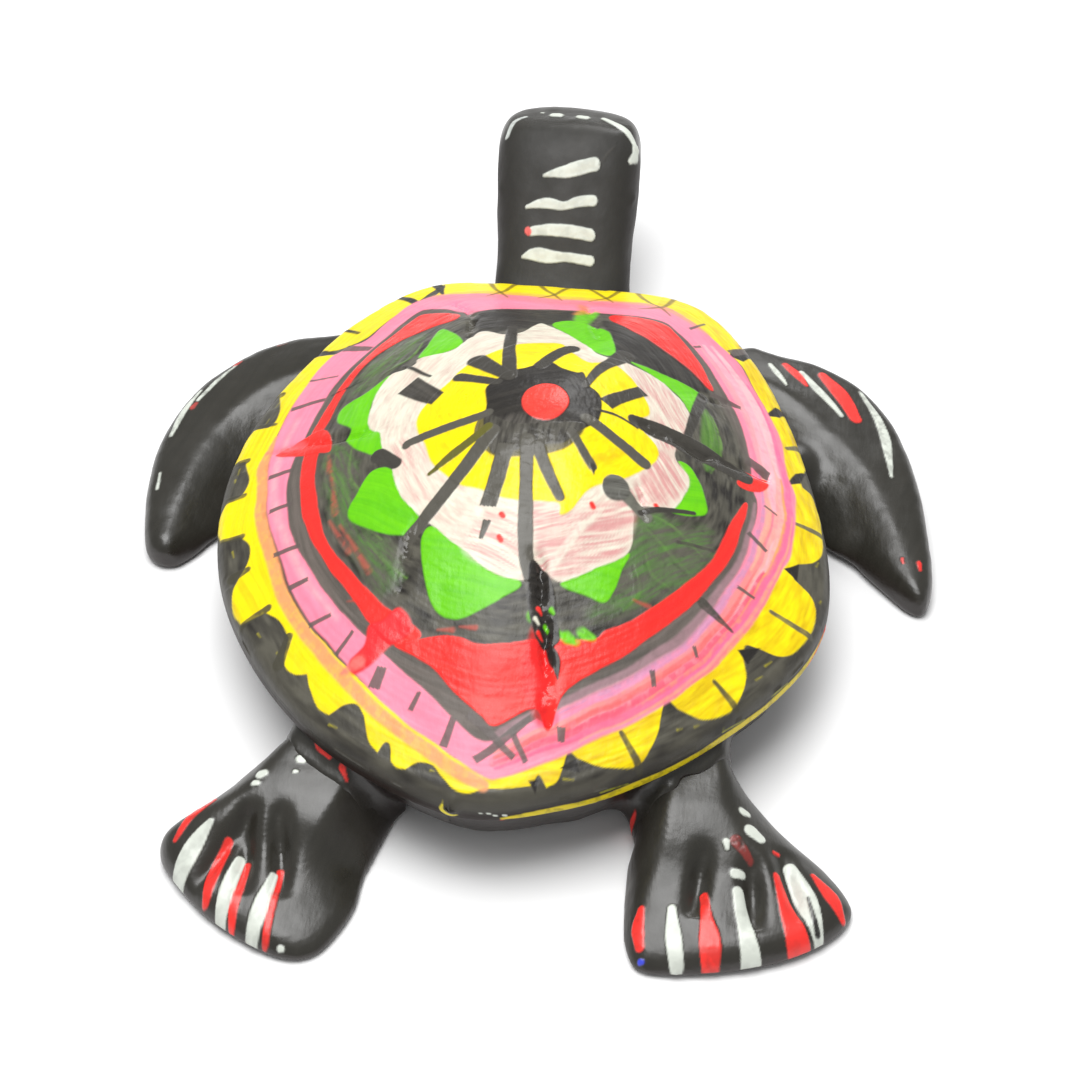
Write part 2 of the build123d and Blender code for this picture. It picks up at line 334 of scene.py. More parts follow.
def paint_yellow_border(coat):
    """Worn grey rim with yellow flecks, then the yellow border with its scallops and strokes."""
    coat.patch(outline / shell_scale, RIM_GREY, BLACK, 0.35, edge=1.6, thick=0.0, gloss=0.4,
               seed=3, length=2.5, width=0.5)
    for number in range(26):                                     # flecks of yellow on the rim
        turn = math.radians(150 + 8.6 * number + 3 * math.sin(9.0 * number))
        place = hub + (reach(turn) - 1.3 - 1.1 * abs(math.sin(4.0 * number))) * np.array(
            [math.cos(turn), math.sin(turn)])
        lean = 0.5 + 0.8 * abs(math.sin(7.0 * number))
        end = place + lean * np.array([-math.sin(turn), math.cos(turn)])
        coat.stroke([tuple(place), tuple(end)], [0.25, 0.45, 0.1], (0.66, 0.62, 0.14), dry=0.5,
                    opacity=0.8, edge=0.15, seed=200 + number)
    outer_left = lobes(                                          # black arches between lobes
        [(0.5, -49.5), (-1.4, -50.0), (-3.4, -49.4), (-5.2, -48.0)],
        [(-5.2, -48.0), (-6.4, -46.8), (-8.4, -46.5), (-10, -47.3)],
        [(-10, -47.3), (-11.2, -47), (-12, -46.2)],
        [(-12, -46.2), (-12.4, -44.2), (-13.2, -43.8), (-14, -45)],
        [(-14, -45), (-15.4, -43.4), (-16.4, -40.4)],
        [(-16.4, -40.4), (-17.6, -38.9), (-19.4, -38.8), (-21.3, -39.8)],
        [(-21.3, -39.8), (-23, -38.6), (-24.4, -36.2), (-25.2, -34)],
        [(-25.2, -34), (-27.2, -33.8), (-28.8, -32), (-28.6, -28.6)],
        [(-28.6, -28.6), (-30.4, -25.8), (-32.8, -24)],
        [(-32.8, -24), (-36.2, -24.9)],
        [(-36.2, -24.9), (-38, -22.4), (-38.6, -19.6), (-38, -17.4)],
        [(-38, -17.4), (-37.1, -15), (-37.4, -12.4), (-39.2, -10.2)],
        [(-39.2, -10.2), (-42.2, -10.2)],
        [(-42.2, -10.2), (-43.4, -7), (-43.5, -4.4), (-42.8, -2.6)],
        [(-42.8, -2.6), (-40.8, -2.2), (-40.2, 0.8), (-41.6, 5.2)],
        [(-41.6, 5.2), (-44.2, 5.6)],
        [(-44.2, 5.6), (-43.9, 9.4), (-42, 12.6)],
        [(-42, 12.6), (-39.2, 12.4), (-38.5, 15.6), (-39.6, 20.4)],
        [(-39.6, 20.4), (-42, 21.4)],
        [(-42, 21.4), (-40.6, 26), (-38, 29.2)],
        [(-38, 29.2), (-36, 29.6), (-32.3, 28.2)],
    )
    inner_left = [
        (0.5, -47.4), (-4, -45.6), (-10, -41.6), (-17, -36.4), (-23, -30.6), (-27.5, -25.4),
        (-31.5, -19), (-35, -11), (-36.8, -6), (-37.6, 0), (-38, 4), (-37.4, 11), (-36, 18),
        (-33.4, 26.6),
    ]
    coat.patch(mirror_ring(outer_left, lobes(inner_left)), YELLOW, OCHRE, 0.2, seed=5, smooth=False)
    coat.patch([(-36.4, 32.3), (-34, 36), (-31, 40), (-26, 45.6), (-20.4, 49.6), (-18.2, 49.8),
                (-19.5, 46), (-22, 41.2), (-25, 36.2), (-28.3, 31), (-32.3, 29.6)],
               YELLOW, OCHRE, 0.18, seed=6)
    coat.patch([(-17.6, 50.2), (-8, 50.9), (2, 50.9), (12, 50.6), (18, 49.9), (18.6, 44), (16, 41.8),
                (8, 42.6), (0, 43), (-8, 43), (-15, 42.4), (-19, 41.8), (-18.2, 46)],
               YELLOW, OCHRE, 0.1, seed=7)
    outer_right = lobes(
        [(16, 49.4), (19, 50.3), (24, 47), (28, 41.5), (28.8, 39.2)],
        [(28.8, 39.2), (30.2, 39.2)],
        [(30.2, 39.2), (32.8, 36), (35.2, 30.6), (35.5, 26.4)],
        [(35.5, 26.4), (36.7, 25.2)],
        [(36.7, 25.2), (38.3, 21.4), (39.8, 16), (39.6, 12.8)],
        [(39.6, 12.8), (39, 11), (39.5, 9)],
        [(39.5, 9), (41.3, 8), (42.4, 3), (42.7, -2.4), (41.4, -6), (39.2, -7.8)],
        [(39.2, -7.8), (38.3, -9.3), (38.8, -10.8)],
        [(38.8, -10.8), (41.4, -12.4), (42, -16), (40.6, -20), (38, -22.9), (34.6, -23.3)],
        [(34.6, -23.3), (32.8, -23.6), (32.6, -25.4)],
        [(32.6, -25.4), (33.1, -28.4), (31.4, -32.8), (28, -34.9), (24.4, -34.5)],
        [(24.4, -34.5), (22.8, -33.8), (22.3, -35.8)],
        [(22.3, -35.8), (21.9, -39), (20.2, -42.6), (16, -44.2), (12.2, -43.8)],
        [(12.2, -43.8), (10.8, -43.3), (10.3, -45.2)],
        [(10.3, -45.2), (9.9, -47), (8.6, -47.9)],
        [(8.6, -47.9), (7.4, -46.7), (6.8, -48.1)],
        [(6.8, -48.1), (3.6, -48.8), (0.5, -49.4)],
    )
    inner_right = [
        (15.5, 44), (21, 40.4), (25, 36.2), (29.2, 33), (31.4, 28), (34.2, 22), (36, 16.5),
        (37, 9.5), (38.3, 5), (38, -6), (36.6, -11), (34.6, -17), (31, -23.4), (26.4, -30),
        (21, -35.4), (15, -40), (8, -44.6), (4, -46.6), (0.5, -47.4),
    ]
    coat.patch(mirror_ring(outer_right, lobes(inner_right)), YELLOW, OCHRE, 0.36, seed=8, smooth=False,
               length=2.2, width=0.45)

    gaps = (                                                     # black wedges between scallops
        [(-38.6, 30.2), (-36.4, 32.8), (-32.2, 28.6)],
        [(27.2, 34), (28, 37), (30.2, 39.8), (30.6, 37.2), (29.4, 34.4)],
        [(33.4, 22), (34.8, 25.8), (36.8, 26.4), (35.6, 23.4)],
        [(36.8, 7.4), (38.3, 11.2), (39.9, 13.2), (39.2, 9.6)],
        [(37.2, -9.9), (39.4, -7.6), (39.3, -10.9)],
        [(31.8, -24.6), (34.8, -23.1), (33.2, -26)],
        [(11.9, -43.8), (10, -45.3), (12.6, -45.4)],
        [(6.2, -47.6), (7.6, -47.2), (7.2, -48.8)],
    )
    for gap in gaps:
        coat.patch(gap, BLACK, smooth=False, thick=-0.02)
    ticks = (                                                    # outer scallop strokes
        ((-42.6, 21.6), (-39.2, 20.3), 1.1), ((-38.5, 12.5), (-42.5, 13.2), 1.0),
        ((-44.6, 5.6), (-41.4, 5.2), 1.0), ((-40.3, -2.4), (-43.6, -2.4), 1.2),
        ((-42.4, -10), (-38.9, -10.3), 0.9), ((-37, -16.5), (-39, -17.2), 1.4),
        ((-36.6, -25.2), (-32.6, -23.4), 1.0), ((-28.6, -28.4), (-29.6, -32), 1.6),
        ((38.3, 0), (42.4, 0.7), 0.9), ((36.8, 16.5), (39.4, 19.2), 1.0),
        ((35.9, -17.4), (41.4, -18.4), 0.8), ((29, -29.6), (32, -32), 0.9),
        ((17.4, -39.4), (20.2, -42.8), 1.0),
    )
    for a, b, width in ticks:
        coat.stroke([a, b], [width * 0.7, width * 1.15], RIM_GREY if a[0] > 30 else (0.27, 0.26, 0.21),
                    dry=0.15, opacity=0.93, seed=int(abs(a[0]) * 3))
    coat.stroke([(-33.2, 37), (-29.8, 33.8)], 0.7, BLACK, dry=0.2)
    coat.stroke([(-26.8, 46), (-22.8, 42.5), (-20, 37.4)], [0.8, 1.3, 0.8], BLACK)


def paint_scribbles(coat):
    """Faint green and red brush marks on the dark field."""
    scribbles = (
        ((-27.4, 0), (-26.8, -5), (-23, -13)), ((-25, 0.5), (-24.6, -5), (-22, -9)),
        ((-26.4, -3), (-24.2, -9), (-20.6, -15)), ((-24.6, 18), (-21, 23), (-18, 27)),
        ((-22.6, 17), (-19.5, 20), (-18.4, 24)), ((-26.6, 14), (-23.6, 20), (-20.6, 25.4)),
        ((25, 14), (26.8, 8), (25.6, 1)), ((23.8, 14.6), (25.4, 9), (24.8, 4)),
        ((18.4, -11), (22, -11.8), (25.4, -14)), ((17.6, -13), (20.6, -15), (24, -17)),
        ((17.8, -16.4), (19, -19), (21.6, -20)), ((16.6, -18.4), (17.6, -22), (15.8, -25)),
        ((-20, -17), (-17, -20.4), (-13.6, -23)), ((-21.6, -14), (-18, -17)),
    )
    for number, scribble in enumerate(scribbles):
        coat.stroke(scribble, [0.3, 0.6, 0.3], BLACK, opacity=0.6, dry=0.5, edge=0.2, thick=0.05,
                    gloss=0.3, seed=number)
        coat.stroke([(x + 0.5, y + 0.4) for x, y in scribble], [0.2, 0.5, 0.2],
                    (0.42, 0.60, 0.24), opacity=0.7, dry=0.6, edge=0.15, thick=0.04, gloss=0.4,
                    seed=30 + number)
    lenses = (
        ([(-28, 1), (-25, 0.6), (-22, -8), (-19, -14), (-23.4, -13.4), (-27, -6)], 118),
        ([(-27, 14), (-22, 16.6), (-18.4, 26), (-20.6, 26.6), (-25, 21.4)], 52),
        ([(17.4, -10.4), (22, -10.6), (26.6, -9), (27, -13), (22.4, -20.4), (13.6, -26),
          (12, -24), (15.4, -17)], 38),
        ([(-22, -15), (-17, -16.6), (-14, -22), (-17, -23.6)], 128),
    )
    for lens, tilt in lenses:
        coat.patch(lens, FIELD, (0.34, 0.50, 0.24), 0.42, angle=tilt, opacity=0.8, edge=1.4,
                   length=2.4, width=0.28, seed=60 + tilt, ragged=1.0, thick=0.04, gloss=0.32)
    for number, (a, b) in enumerate((((-27, -3), (-25, -11)), ((-24, -13), (-18.6, -21)),
                                     ((-25.6, -12), (-22, -17.6)), ((-28, 0.4), (-27.2, -3)))):
        coat.stroke([a, b], [0.3, 0.9], (0.72, 0.34, 0.28), opacity=0.65, dry=0.7, edge=0.3,
                    seed=60 + number)
    coat.patch([(24.6, 15.6), (26.4, 11.4), (27.2, 6.6), (25.6, 1.4), (24.6, 5.6), (24.2, 11)],
               (0.30, 0.50, 0.16), (0.42, 0.60, 0.25), 0.5, angle=100, opacity=0.7, edge=0.4,
               seed=66, length=3)
    for number, start in enumerate(((-21, -24.6), (-8, -29.9), (-5, -29.7), (17.4, -22.8))):
        coat.stroke([start, (start[0] + 2.2, start[1] - 0.2)], [0.2, 0.7], (0.70, 0.30, 0.24),
                    dry=0.5, opacity=0.8, edge=0.2, seed=90 + number)


def paint_pink_band(coat):
    """Salmon strip, pink band with bristle streaks, its ticks and the soft top edge."""
    strip = [
        (-37.6, 9), (-38.3, 3), (-37.8, -1), (-36.4, -8), (-34.4, -13.6), (-31, -21.4),
        (-27, -27.4), (-22.5, -32.6), (-16.6, -38.4), (-10, -43.2), (-4, -47), (0.5, -49),
    ]
    coat.stroke(strip, [0.5] + [1.7] * 10 + [1.5], (0.95, 0.62, 0.40), edge=0.25, dry=0.2,
                thick=0.02)
    pink_outer = [
        (-27.8, 30.6), (-31, 29), (-33.5, 26.6), (-36, 18), (-37.4, 10), (-37.4, 3), (-37, -1),
        (-35.4, -8), (-33.5, -13), (-30, -20.6), (-26.2, -26.4), (-21.6, -31.6), (-16, -37.2),
        (-9.4, -42.2), (-4, -45.6), (0.5, -48), (3, -47.6), (8, -45.2), (15, -40.6), (21, -36),
        (26.4, -30.6), (31, -24), (34.7, -17.4), (36.7, -11.2), (38.1, -6), (38.5, 4.6),
        (37.1, 9.6), (36.1, 16.5), (34.2, 22), (31.3, 28), (28.9, 33), (24.6, 37), (20.6, 41),
        (15.8, 43.6), (6, 43), (-6, 43), (-14, 42.6), (-19.4, 43), (-22.4, 41), (-25, 36),
    ]
    pink_inner = [
        (-20.3, 37), (-23.3, 32.3), (-26.7, 26), (-30, 19), (-32, 12), (-32.7, 6), (-33.5, 2),
        (-33.5, -3), (-32.5, -8), (-30.5, -14), (-26.5, -20), (-23.5, -24), (-19, -28.8),
        (-14.3, -33), (-8, -38), (-4.5, -41), (-0.5, -43.5), (3.5, -42.2), (8.8, -38.5),
        (15, -34.5), (21.5, -29), (25.5, -24.5), (28.5, -19), (31, -13), (32.5, -6), (33, 0),
        (32.2, 3), (31.5, 9), (29.5, 17), (27.5, 22), (22.5, 31), (19, 35), (16.5, 37), (9, 36),
        (3, 36.8), (0, 37), (-5, 35.5), (-10, 33.5), (-13, 33), (-16.5, 36),
    ]
    coat.patch(pink_outer, PINK, (0.98, 0.46, 0.56), 0.2, seed=9, length=9, width=0.4, edge=0.22)
    # streaks dragged along the right-hand half, and lilac along its inside edge
    inner_edge = np.array([(1, -43.2), (8.8, -38.5), (15, -34.5), (21.5, -29), (25.5, -24.5),
                           (28.5, -19), (31, -13), (32.5, -6), (33, 0), (32, 7), (29.5, 17),
                           (26, 25), (21.5, 32.5)])
    outer_edge = np.array([(2, -47.6), (12.5, -42), (20.5, -36.2), (26.4, -30.4), (31, -24),
                           (34.4, -17.6), (36.6, -11.2), (38, -5), (38.4, 1), (37.4, 8.6),
                           (34.6, 20.4), (31, 28.4), (26, 35.4)])
    streaks = (                              # across the band, first and last place, width, paint
        (0.60, 0, 9, 4.4, (0.96, 0.49, 0.55)),
        (0.10, 1, 6, 0.9, LILAC), (0.22, 1, 5, 0.7, (0.86, 0.56, 0.70)), (0.16, 4, 9, 0.8, LILAC),
        (0.35, 0, 8, 1.1, (0.93, 0.56, 0.54)), (0.30, 6, 11, 1.0, (0.93, 0.66, 0.58)),
        (0.48, 0, 6, 1.3, (0.96, 0.42, 0.42)), (0.52, 5, 10, 0.8, (0.97, 0.66, 0.62)),
        (0.58, 1, 7, 0.7, (0.98, 0.70, 0.72)), (0.64, 0, 6, 1.3, (0.97, 0.36, 0.46)),
        (0.64, 6, 11, 0.8, (0.96, 0.70, 0.66)), (0.74, 2, 9, 0.7, ORANGE),
        (0.80, 0, 8, 1.1, (0.98, 0.42, 0.56)), (0.88, 2, 11, 1.1, (0.98, 0.44, 0.60)),
        (0.93, 1, 8, 0.5, (0.98, 0.62, 0.52)), (0.44, 8, 12, 2.0, (0.96, 0.70, 0.74)),
        (0.70, 9, 12, 1.6, (0.96, 0.74, 0.76)), (0.25, 9, 12, 1.2, (0.95, 0.62, 0.66)),
    )
    for number, (across, first, last, width, tint) in enumerate(streaks):
        path = (inner_edge + across * (outer_edge - inner_edge))[first:last + 1]
        widths = width * np.sin(np.linspace(0.35, math.pi - 0.35, len(path)))
        coat.stroke([tuple(p) for p in path], widths, tint, edge=0.16, opacity=0.92, dry=0.35,
                    thick=0.03, seed=130 + number)
    # painted highlight: a soft pale-pink sheen down the left-hand side of the pink band
    coat.stroke([(-35, 12), (-36, 0), (-33.6, -9), (-28.6, -19), (-22, -27)],
                [0.5, 1.0, 1.2, 1.0, 0.5], (0.99, 0.74, 0.74), edge=0.6, opacity=0.5, dry=0.4,
                seed=7)
    # the front edge, where yellow was dragged into wet pink
    coat.stroke([(-19, 42.8), (-10, 43.6), (0, 43.6), (10, 43.2), (17, 42.6), (24, 38)],
                [0.8, 1.6, 1.8, 1.6, 1.2, 0.6], ORANGE, edge=0.8, opacity=0.7, dry=0.2, seed=8)
    coat.stroke([(-18, 41), (-8, 41.4), (2, 41.3), (12, 41)], [1.4, 2.2, 2.2, 1.6], CORAL,
                edge=1.2, opacity=0.45, dry=0.2, seed=9)
    coat.patch(pink_inner, OUTLINE, GREY_BLACK, 0.3, seed=10, edge=0.16, thick=-0.03, gloss=0.5)
    inner_field = [(-16, 34), (-22, 29), (-26.6, 21.4), (-29.2, 12), (-29.8, 3), (-28.8, -5),
                   (-25, -15.6), (-16.6, -25), (-9, -30.4), (0, -32.4), (10, -30.6), (20, -24),
                   (27, -15), (30.4, -5), (31.6, 3), (29, 14), (24, 24), (16, 34), (4, 36),
                   (-8, 33)]
    coat.patch(inner_field, FIELD, BLACK, 0.42, seed=11, edge=0.8, thick=0.0, gloss=0.36,
               length=3, width=0.5)
    coat.stroke([(1, -43), (8.6, -38.2), (14.8, -34.2), (21.2, -28.7), (25.2, -24.2), (28.2, -18.7),
                 (30.7, -12.8), (32.2, -6), (32.6, 0)], [0.9, 1.2, 1.2, 1.3, 1.2, 1.0, 0.8, 0.4],
                (0.64, 0.50, 0.53), edge=0.25, opacity=0.75, dry=0.2, seed=12, thick=0.03)
    paint_scribbles(coat)

    ticks = (                                                    # from, to, width
        ((-31, 29.2), (-26.5, 26.8), 1.6), ((-35, 22), (-30.3, 20.5), 0.5),
        ((-36.5, 15), (-31.3, 15), 0.9), ((-37, -0.3), (-33.3, -0.3), 0.9),
        ((-35.3, -7.3), (-32, -7), 0.8), ((-33.3, -15.3), (-29.5, -14.8), 0.8),
        ((-30, -21.2), (-27.3, -20.3), 0.9), ((-26, -27.3), (-23, -26.2), 0.8),
        ((-21.5, -32), (-19.5, -29), 0.7), ((-15.5, -37), (-14.8, -34.3), 1.8),
        ((-10.2, -39.8), (-9.5, -37.6), 0.8), ((-5.3, -44.5), (-4.3, -41), 1.2),
        ((-1, -46), (6, -40), 1.1), ((-2.5, -40.5), (4, -45), 1.1), ((3.5, -42), (5.5, -45.5), 0.8),
        ((6, -39.5), (8, -40), 1.2), ((9.5, -40.5), (9.7, -42.3), 1.1),
        ((20.5, -31), (21, -32.8), 0.8), ((25.8, -26), (26.3, -27.3), 0.6),
        ((31, -16), (33.5, -16.6), 0.6), ((32, -6.5), (34.7, -8.2), 0.8),
        ((34, 0.5), (35.8, -0.3), 0.4), ((31, 8.5), (34.3, 7.5), 1.8), ((25, 20.5), (29.5, 21), 1.2),
        ((22, 32), (23, 33), 0.6), ((20.8, 37.5), (23.3, 41.5), 0.6), ((27.5, 35), (30, 39), 1.4),
    )
    for number, (a, b, width) in enumerate(ticks):
        coat.stroke([a, b], [width, width * 0.8], (0.37, 0.335, 0.32), opacity=0.92, seed=number,
                    thick=0.02, blunt=True)
    coat.stroke([(26.5, -20), (30.8, -22.5)], [1.5, 0.4], GREY_BLACK, dry=0.2)
    # thin olive crossings along the front edge
    for middle, spread in (((-9, 44), (-11.6, -7)), ((-0.5, 45), (-3.8, 1.4)),
                           ((7.5, 45), (4.2, 9.4)), ((16, 42.8), (11.6, 18.4))):
        for side, other in (spread, spread[::-1]):
            low = middle[0] + (other - middle[0]) * 0.7
            coat.stroke([(side, 50.8), (middle[0] + 0.45 * (side - middle[0]), middle[1] + 2.2),
                         middle, (low, middle[1] - 2.6)], [0.9, 0.7, 0.6, 0.3],
                        (0.45, 0.37, 0.12), edge=0.2, opacity=0.85, dry=0.1, thick=0.01)
    coat.stroke([(-20.6, 50.2), (-19, 46.5), (-17.8, 43.2)], [1.8, 1.4, 0.5], BLACK)
    coat.stroke([(-19.5, 50.8), (0, 51.2), (18.5, 50.2)], [0.4, 0.6, 0.4], (0.45, 0.40, 0.16),
                dry=0.5, opacity=0.8)


def paint_red_band(coat):
    """Red band round the dark field, with its pointed ends and the smears across the pink."""
    upper_left = [
        (-20.5, 35), (-22.5, 31.5), (-24.7, 28), (-26.5, 24.5), (-29, 18), (-30.8, 12),
        (-31.8, 6), (-32, 2), (-31.7, -2), (-30.5, -8), (-28.5, -13), (-25.5, -18), (-21, -23.5),
        (-17.5, -28), (-14, -31.2), (-10.6, -31), (-10.4, -29.8), (-14.5, -27), (-17.5, -24.5),
        (-22, -19.5), (-25, -16), (-27.5, -10), (-29, -5), (-29.7, 0), (-29.6, 3), (-30, 6),
        (-29.5, 9.5), (-28.8, 14), (-27.2, 19), (-25, 23.5), (-22, 26.8), (-17.5, 29.3),
        (-15, 30), (-13.8, 31), (-14, 32.8), (-18.5, 35),
    ]
    bottom = [
        (-13, -31.3), (-8, -30.7), (-5, -31), (-2, -32), (1, -31.8), (4, -30.8), (7, -30),
        (12.5, -29), (14, -27.5), (18, -25), (22.5, -20), (27, -14), (29.5, -6), (31, -1),
        (31.5, -2), (30.5, -9), (28.5, -15), (25, -21), (20, -27), (14, -32.5), (9.5, -36.5),
        (8, -41.5), (6, -39), (1.3, -41.7), (-1, -40.5), (-5, -37.5), (-9, -34), (-13, -31.8),
    ]
    wedge = [
        (9, 35), (12, 35.8), (17, 36), (19, 34), (22, 29.5), (25.3, 22.5), (24.5, 21.5),
        (22, 23.5), (17, 26.5), (12.5, 29.5), (9.5, 32),
    ]
    coat.patch(upper_left, RED, DEEP_RED, 0.12, seed=12, length=9, thick=0.07, gloss=0.3)
    coat.patch(bottom, RED, DEEP_RED, 0.14, seed=13, length=8, thick=0.07, gloss=0.3)
    coat.patch(wedge, RED, DEEP_RED, 0.2, angle=-35, seed=14, thick=0.07, gloss=0.3)
    coat.patch([(-29.6, 7), (-33.2, 6), (-36.8, 4.6), (-33, 2.4), (-29.8, 1.6), (-27.9, 1.6)], RED,
               DEEP_RED, 0.1, seed=15, thick=0.07)
    coat.stroke([(-33, 5), (-38.4, 5.6)], [1.6, 0.5], (0.97, 0.45, 0.47), edge=0.4, dry=0.4,
                opacity=0.8)
    coat.patch([(-13.6, -26.6), (-11.4, -29.6), (-14, -31.4), (-16, -33.6), (-18.6, -35),
                (-19.4, -33.2), (-17.6, -31.2), (-17.4, -28.6), (-15.6, -28)], (0.94, 0.20, 0.22),
               DEEP_RED, 0.2, edge=0.25, seed=4, thick=0.1, gloss=0.26)
    coat.stroke([(-18.2, -33.4), (-20.2, -34.8)], [1.8, 0.8], CORAL, edge=0.4, dry=0.4, opacity=0.8)
    coat.stroke([(6, -30), (5.6, -35), (7, -40.5)], [3.4, 3.6, 1.4], DEEP_RED, edge=0.5,
                opacity=0.6, dry=0.2, thick=0.0, gloss=0.3)
    coat.patch([(29.8, 2.4), (30.8, 4.8), (34.2, 5.6), (33.6, 3.4), (31.4, 2)], RED, seed=16,
               thick=0.07)
    coat.stroke([(31, 5.8), (33.8, 6.4)], 0.6, RED, dry=0.4)


def paint_green_and_cream(coat):
    """The dark crown and field, green leaves, and the cream ring with rose streaks."""
    coat.patch([(-10, 26), (-10.6, 32.4), (-5, 35.2), (3, 36.2), (3.4, 32), (3.8, 29.6), (0, 28.4),
                (-4, 26)], BLACK, GREY_BLACK, 0.2, seed=17, edge=0.5, gloss=0.4)
    coat.patch([(8, 32), (9.6, 26), (12, 20), (24, 19.8), (22.6, 23.4), (14, 28.6)], BLACK,
               GREY_BLACK, 0.25, seed=18, edge=0.4, gloss=0.45)
    leaves = (
        [(-20.5, -5.2), (-18, -5.5), (-15.5, -10), (-12.2, -15), (-14, -16.6), (-19, -15),
         (-23, -12), (-22, -8)],
        [(-10.5, -15.8), (-7, -18.5), (-3, -21.5), (2.3, -23.8), (0, -26), (-3, -28),
         (-6, -28.8), (-9, -27), (-11, -22), (-11.8, -17.5)],
        [(7.5, -23), (12, -20), (16, -16.7), (15.5, -19), (14, -24), (11, -23.8)],
        [(21.5, 0.5), (23.5, 0.5), (25.3, -3), (25.8, -7), (21, -9), (23, -4.5), (22.8, -1.5)],
        [(13.5, 19), (24, 19), (23.5, 14), (22.7, 12), (20.5, 15.5), (17, 17.5)],
        [(1, 28.5), (4, 30.5), (8.3, 28), (10, 25), (11, 20), (9.5, 18.3), (7, 19.5), (4, 24)],
        [(-16, 27.5), (-14.3, 26.5), (-11.5, 21.5), (-13.5, 19.3), (-17.7, 19.2), (-17, 22.5)],
        [(-21.5, 16), (-23, 15), (-25, 13), (-28, 11), (-28, 8), (-25.5, 5), (-26, 3),
         (-24, 0.5), (-21, -2), (-19.3, -3), (-20.5, 2), (-22.5, 5), (-23.3, 8), (-23, 12)],
    )
    for number, leaf in enumerate(leaves):
        coat.patch(leaf, GREEN, (0.22, 0.62, 0.08), 0.12, angle=-30 + 17 * number,
                   seed=20 + number, thick=0.06, gloss=0.35, edge=0.16)
    coat.stroke([(5, 29.6), (5.2, 32.5), (5.6, 36)], [2.0, 2.6, 3.2], GREEN, edge=0.5, dry=0.25,
                opacity=0.9)
    coat.stroke([(4.2, 34.6), (4.8, 37.6), (4, 40)], [1.4, 2.0, 1.0], (0.93, 0.50, 0.28),
                edge=0.6, dry=0.4, opacity=0.75)
    for spot in ((7.2, -29.2), (9.2, -29.5), (11.2, -28.6), (4.4, -27.8)):
        coat.stroke([spot, (spot[0] + 1.2, spot[1] - 0.3)], [1.6, 0.9], GREEN, edge=0.3, dry=0.5)

    ring = [
        (0, 28.3), (4, 24), (7, 20), (9, 18), (14, 18), (19, 16.5), (22.5, 11.5), (21.5, 6),
        (21, 1), (23, -1.5), (23, -4.5), (21, -9), (16, -9.5), (16.3, -12), (16, -16.5),
        (12, -20), (7.5, -22.8), (5, -21.5), (3, -23.5), (-2, -22.5), (-6, -19.5),
        (-10.5, -15.7), (-12, -14.5), (-16, -10), (-18, -5), (-19.5, -2), (-20.7, 2), (-23, 5),
        (-23, 12), (-21.5, 16), (-19.5, 16.5), (-18, 17.5), (-17.5, 19), (-13, 19.3), (-11, 22),
        (-9, 24.5), (-5.5, 23), (-3.5, 24), (-1.5, 27.5),
    ]
    coat.patch(ring, CREAM, (0.82, 0.72, 0.67), 0.34, seed=30, length=3, width=0.3, thick=0.07,
               gloss=0.3, ragged=0.1)
    for sector, tilt, mix in (
            ([(2.6, -13), (8, -13.4), (15.8, -9.4), (15.6, -16.2), (11.6, -19.6), (7.2, -22.4),
              (4.6, -21)], 22, 0.62),
            ([(17.8, -2.6), (18.6, 1), (22.6, -1), (22.6, -4.5), (20.6, -8.4), (15.6, -8.6)], -50, 0.6),
            ([(14, 13.6), (18, 8.6), (18.6, 2), (21, 3), (22.2, 11.2), (18.8, 16), (13.6, 17.4)],
             -62, 0.5),
            ([(2, -14), (1.6, -22), (-2, -22), (-6, -19.2), (-3, -14)], -25, 0.4),
            ([(-18.6, -1), (-17.2, -5), (-13.4, -12), (-11.4, -9), (-15, -1)], -60, 0.3)):
        coat.patch(sector, CREAM, (0.80, 0.53, 0.53), mix, angle=tilt, seed=37 + int(tilt),
                   length=3.4, width=0.24, thick=0.02, edge=0.7, opacity=0.85, gloss=0.38)
    for speck in ((-1.3, -14.7), (-1.2, -18), (10.5, -11.5), (19, -9)):
        coat.stroke([speck, (speck[0] + 0.3, speck[1] - 0.4)], 0.7, RED, edge=0.15)


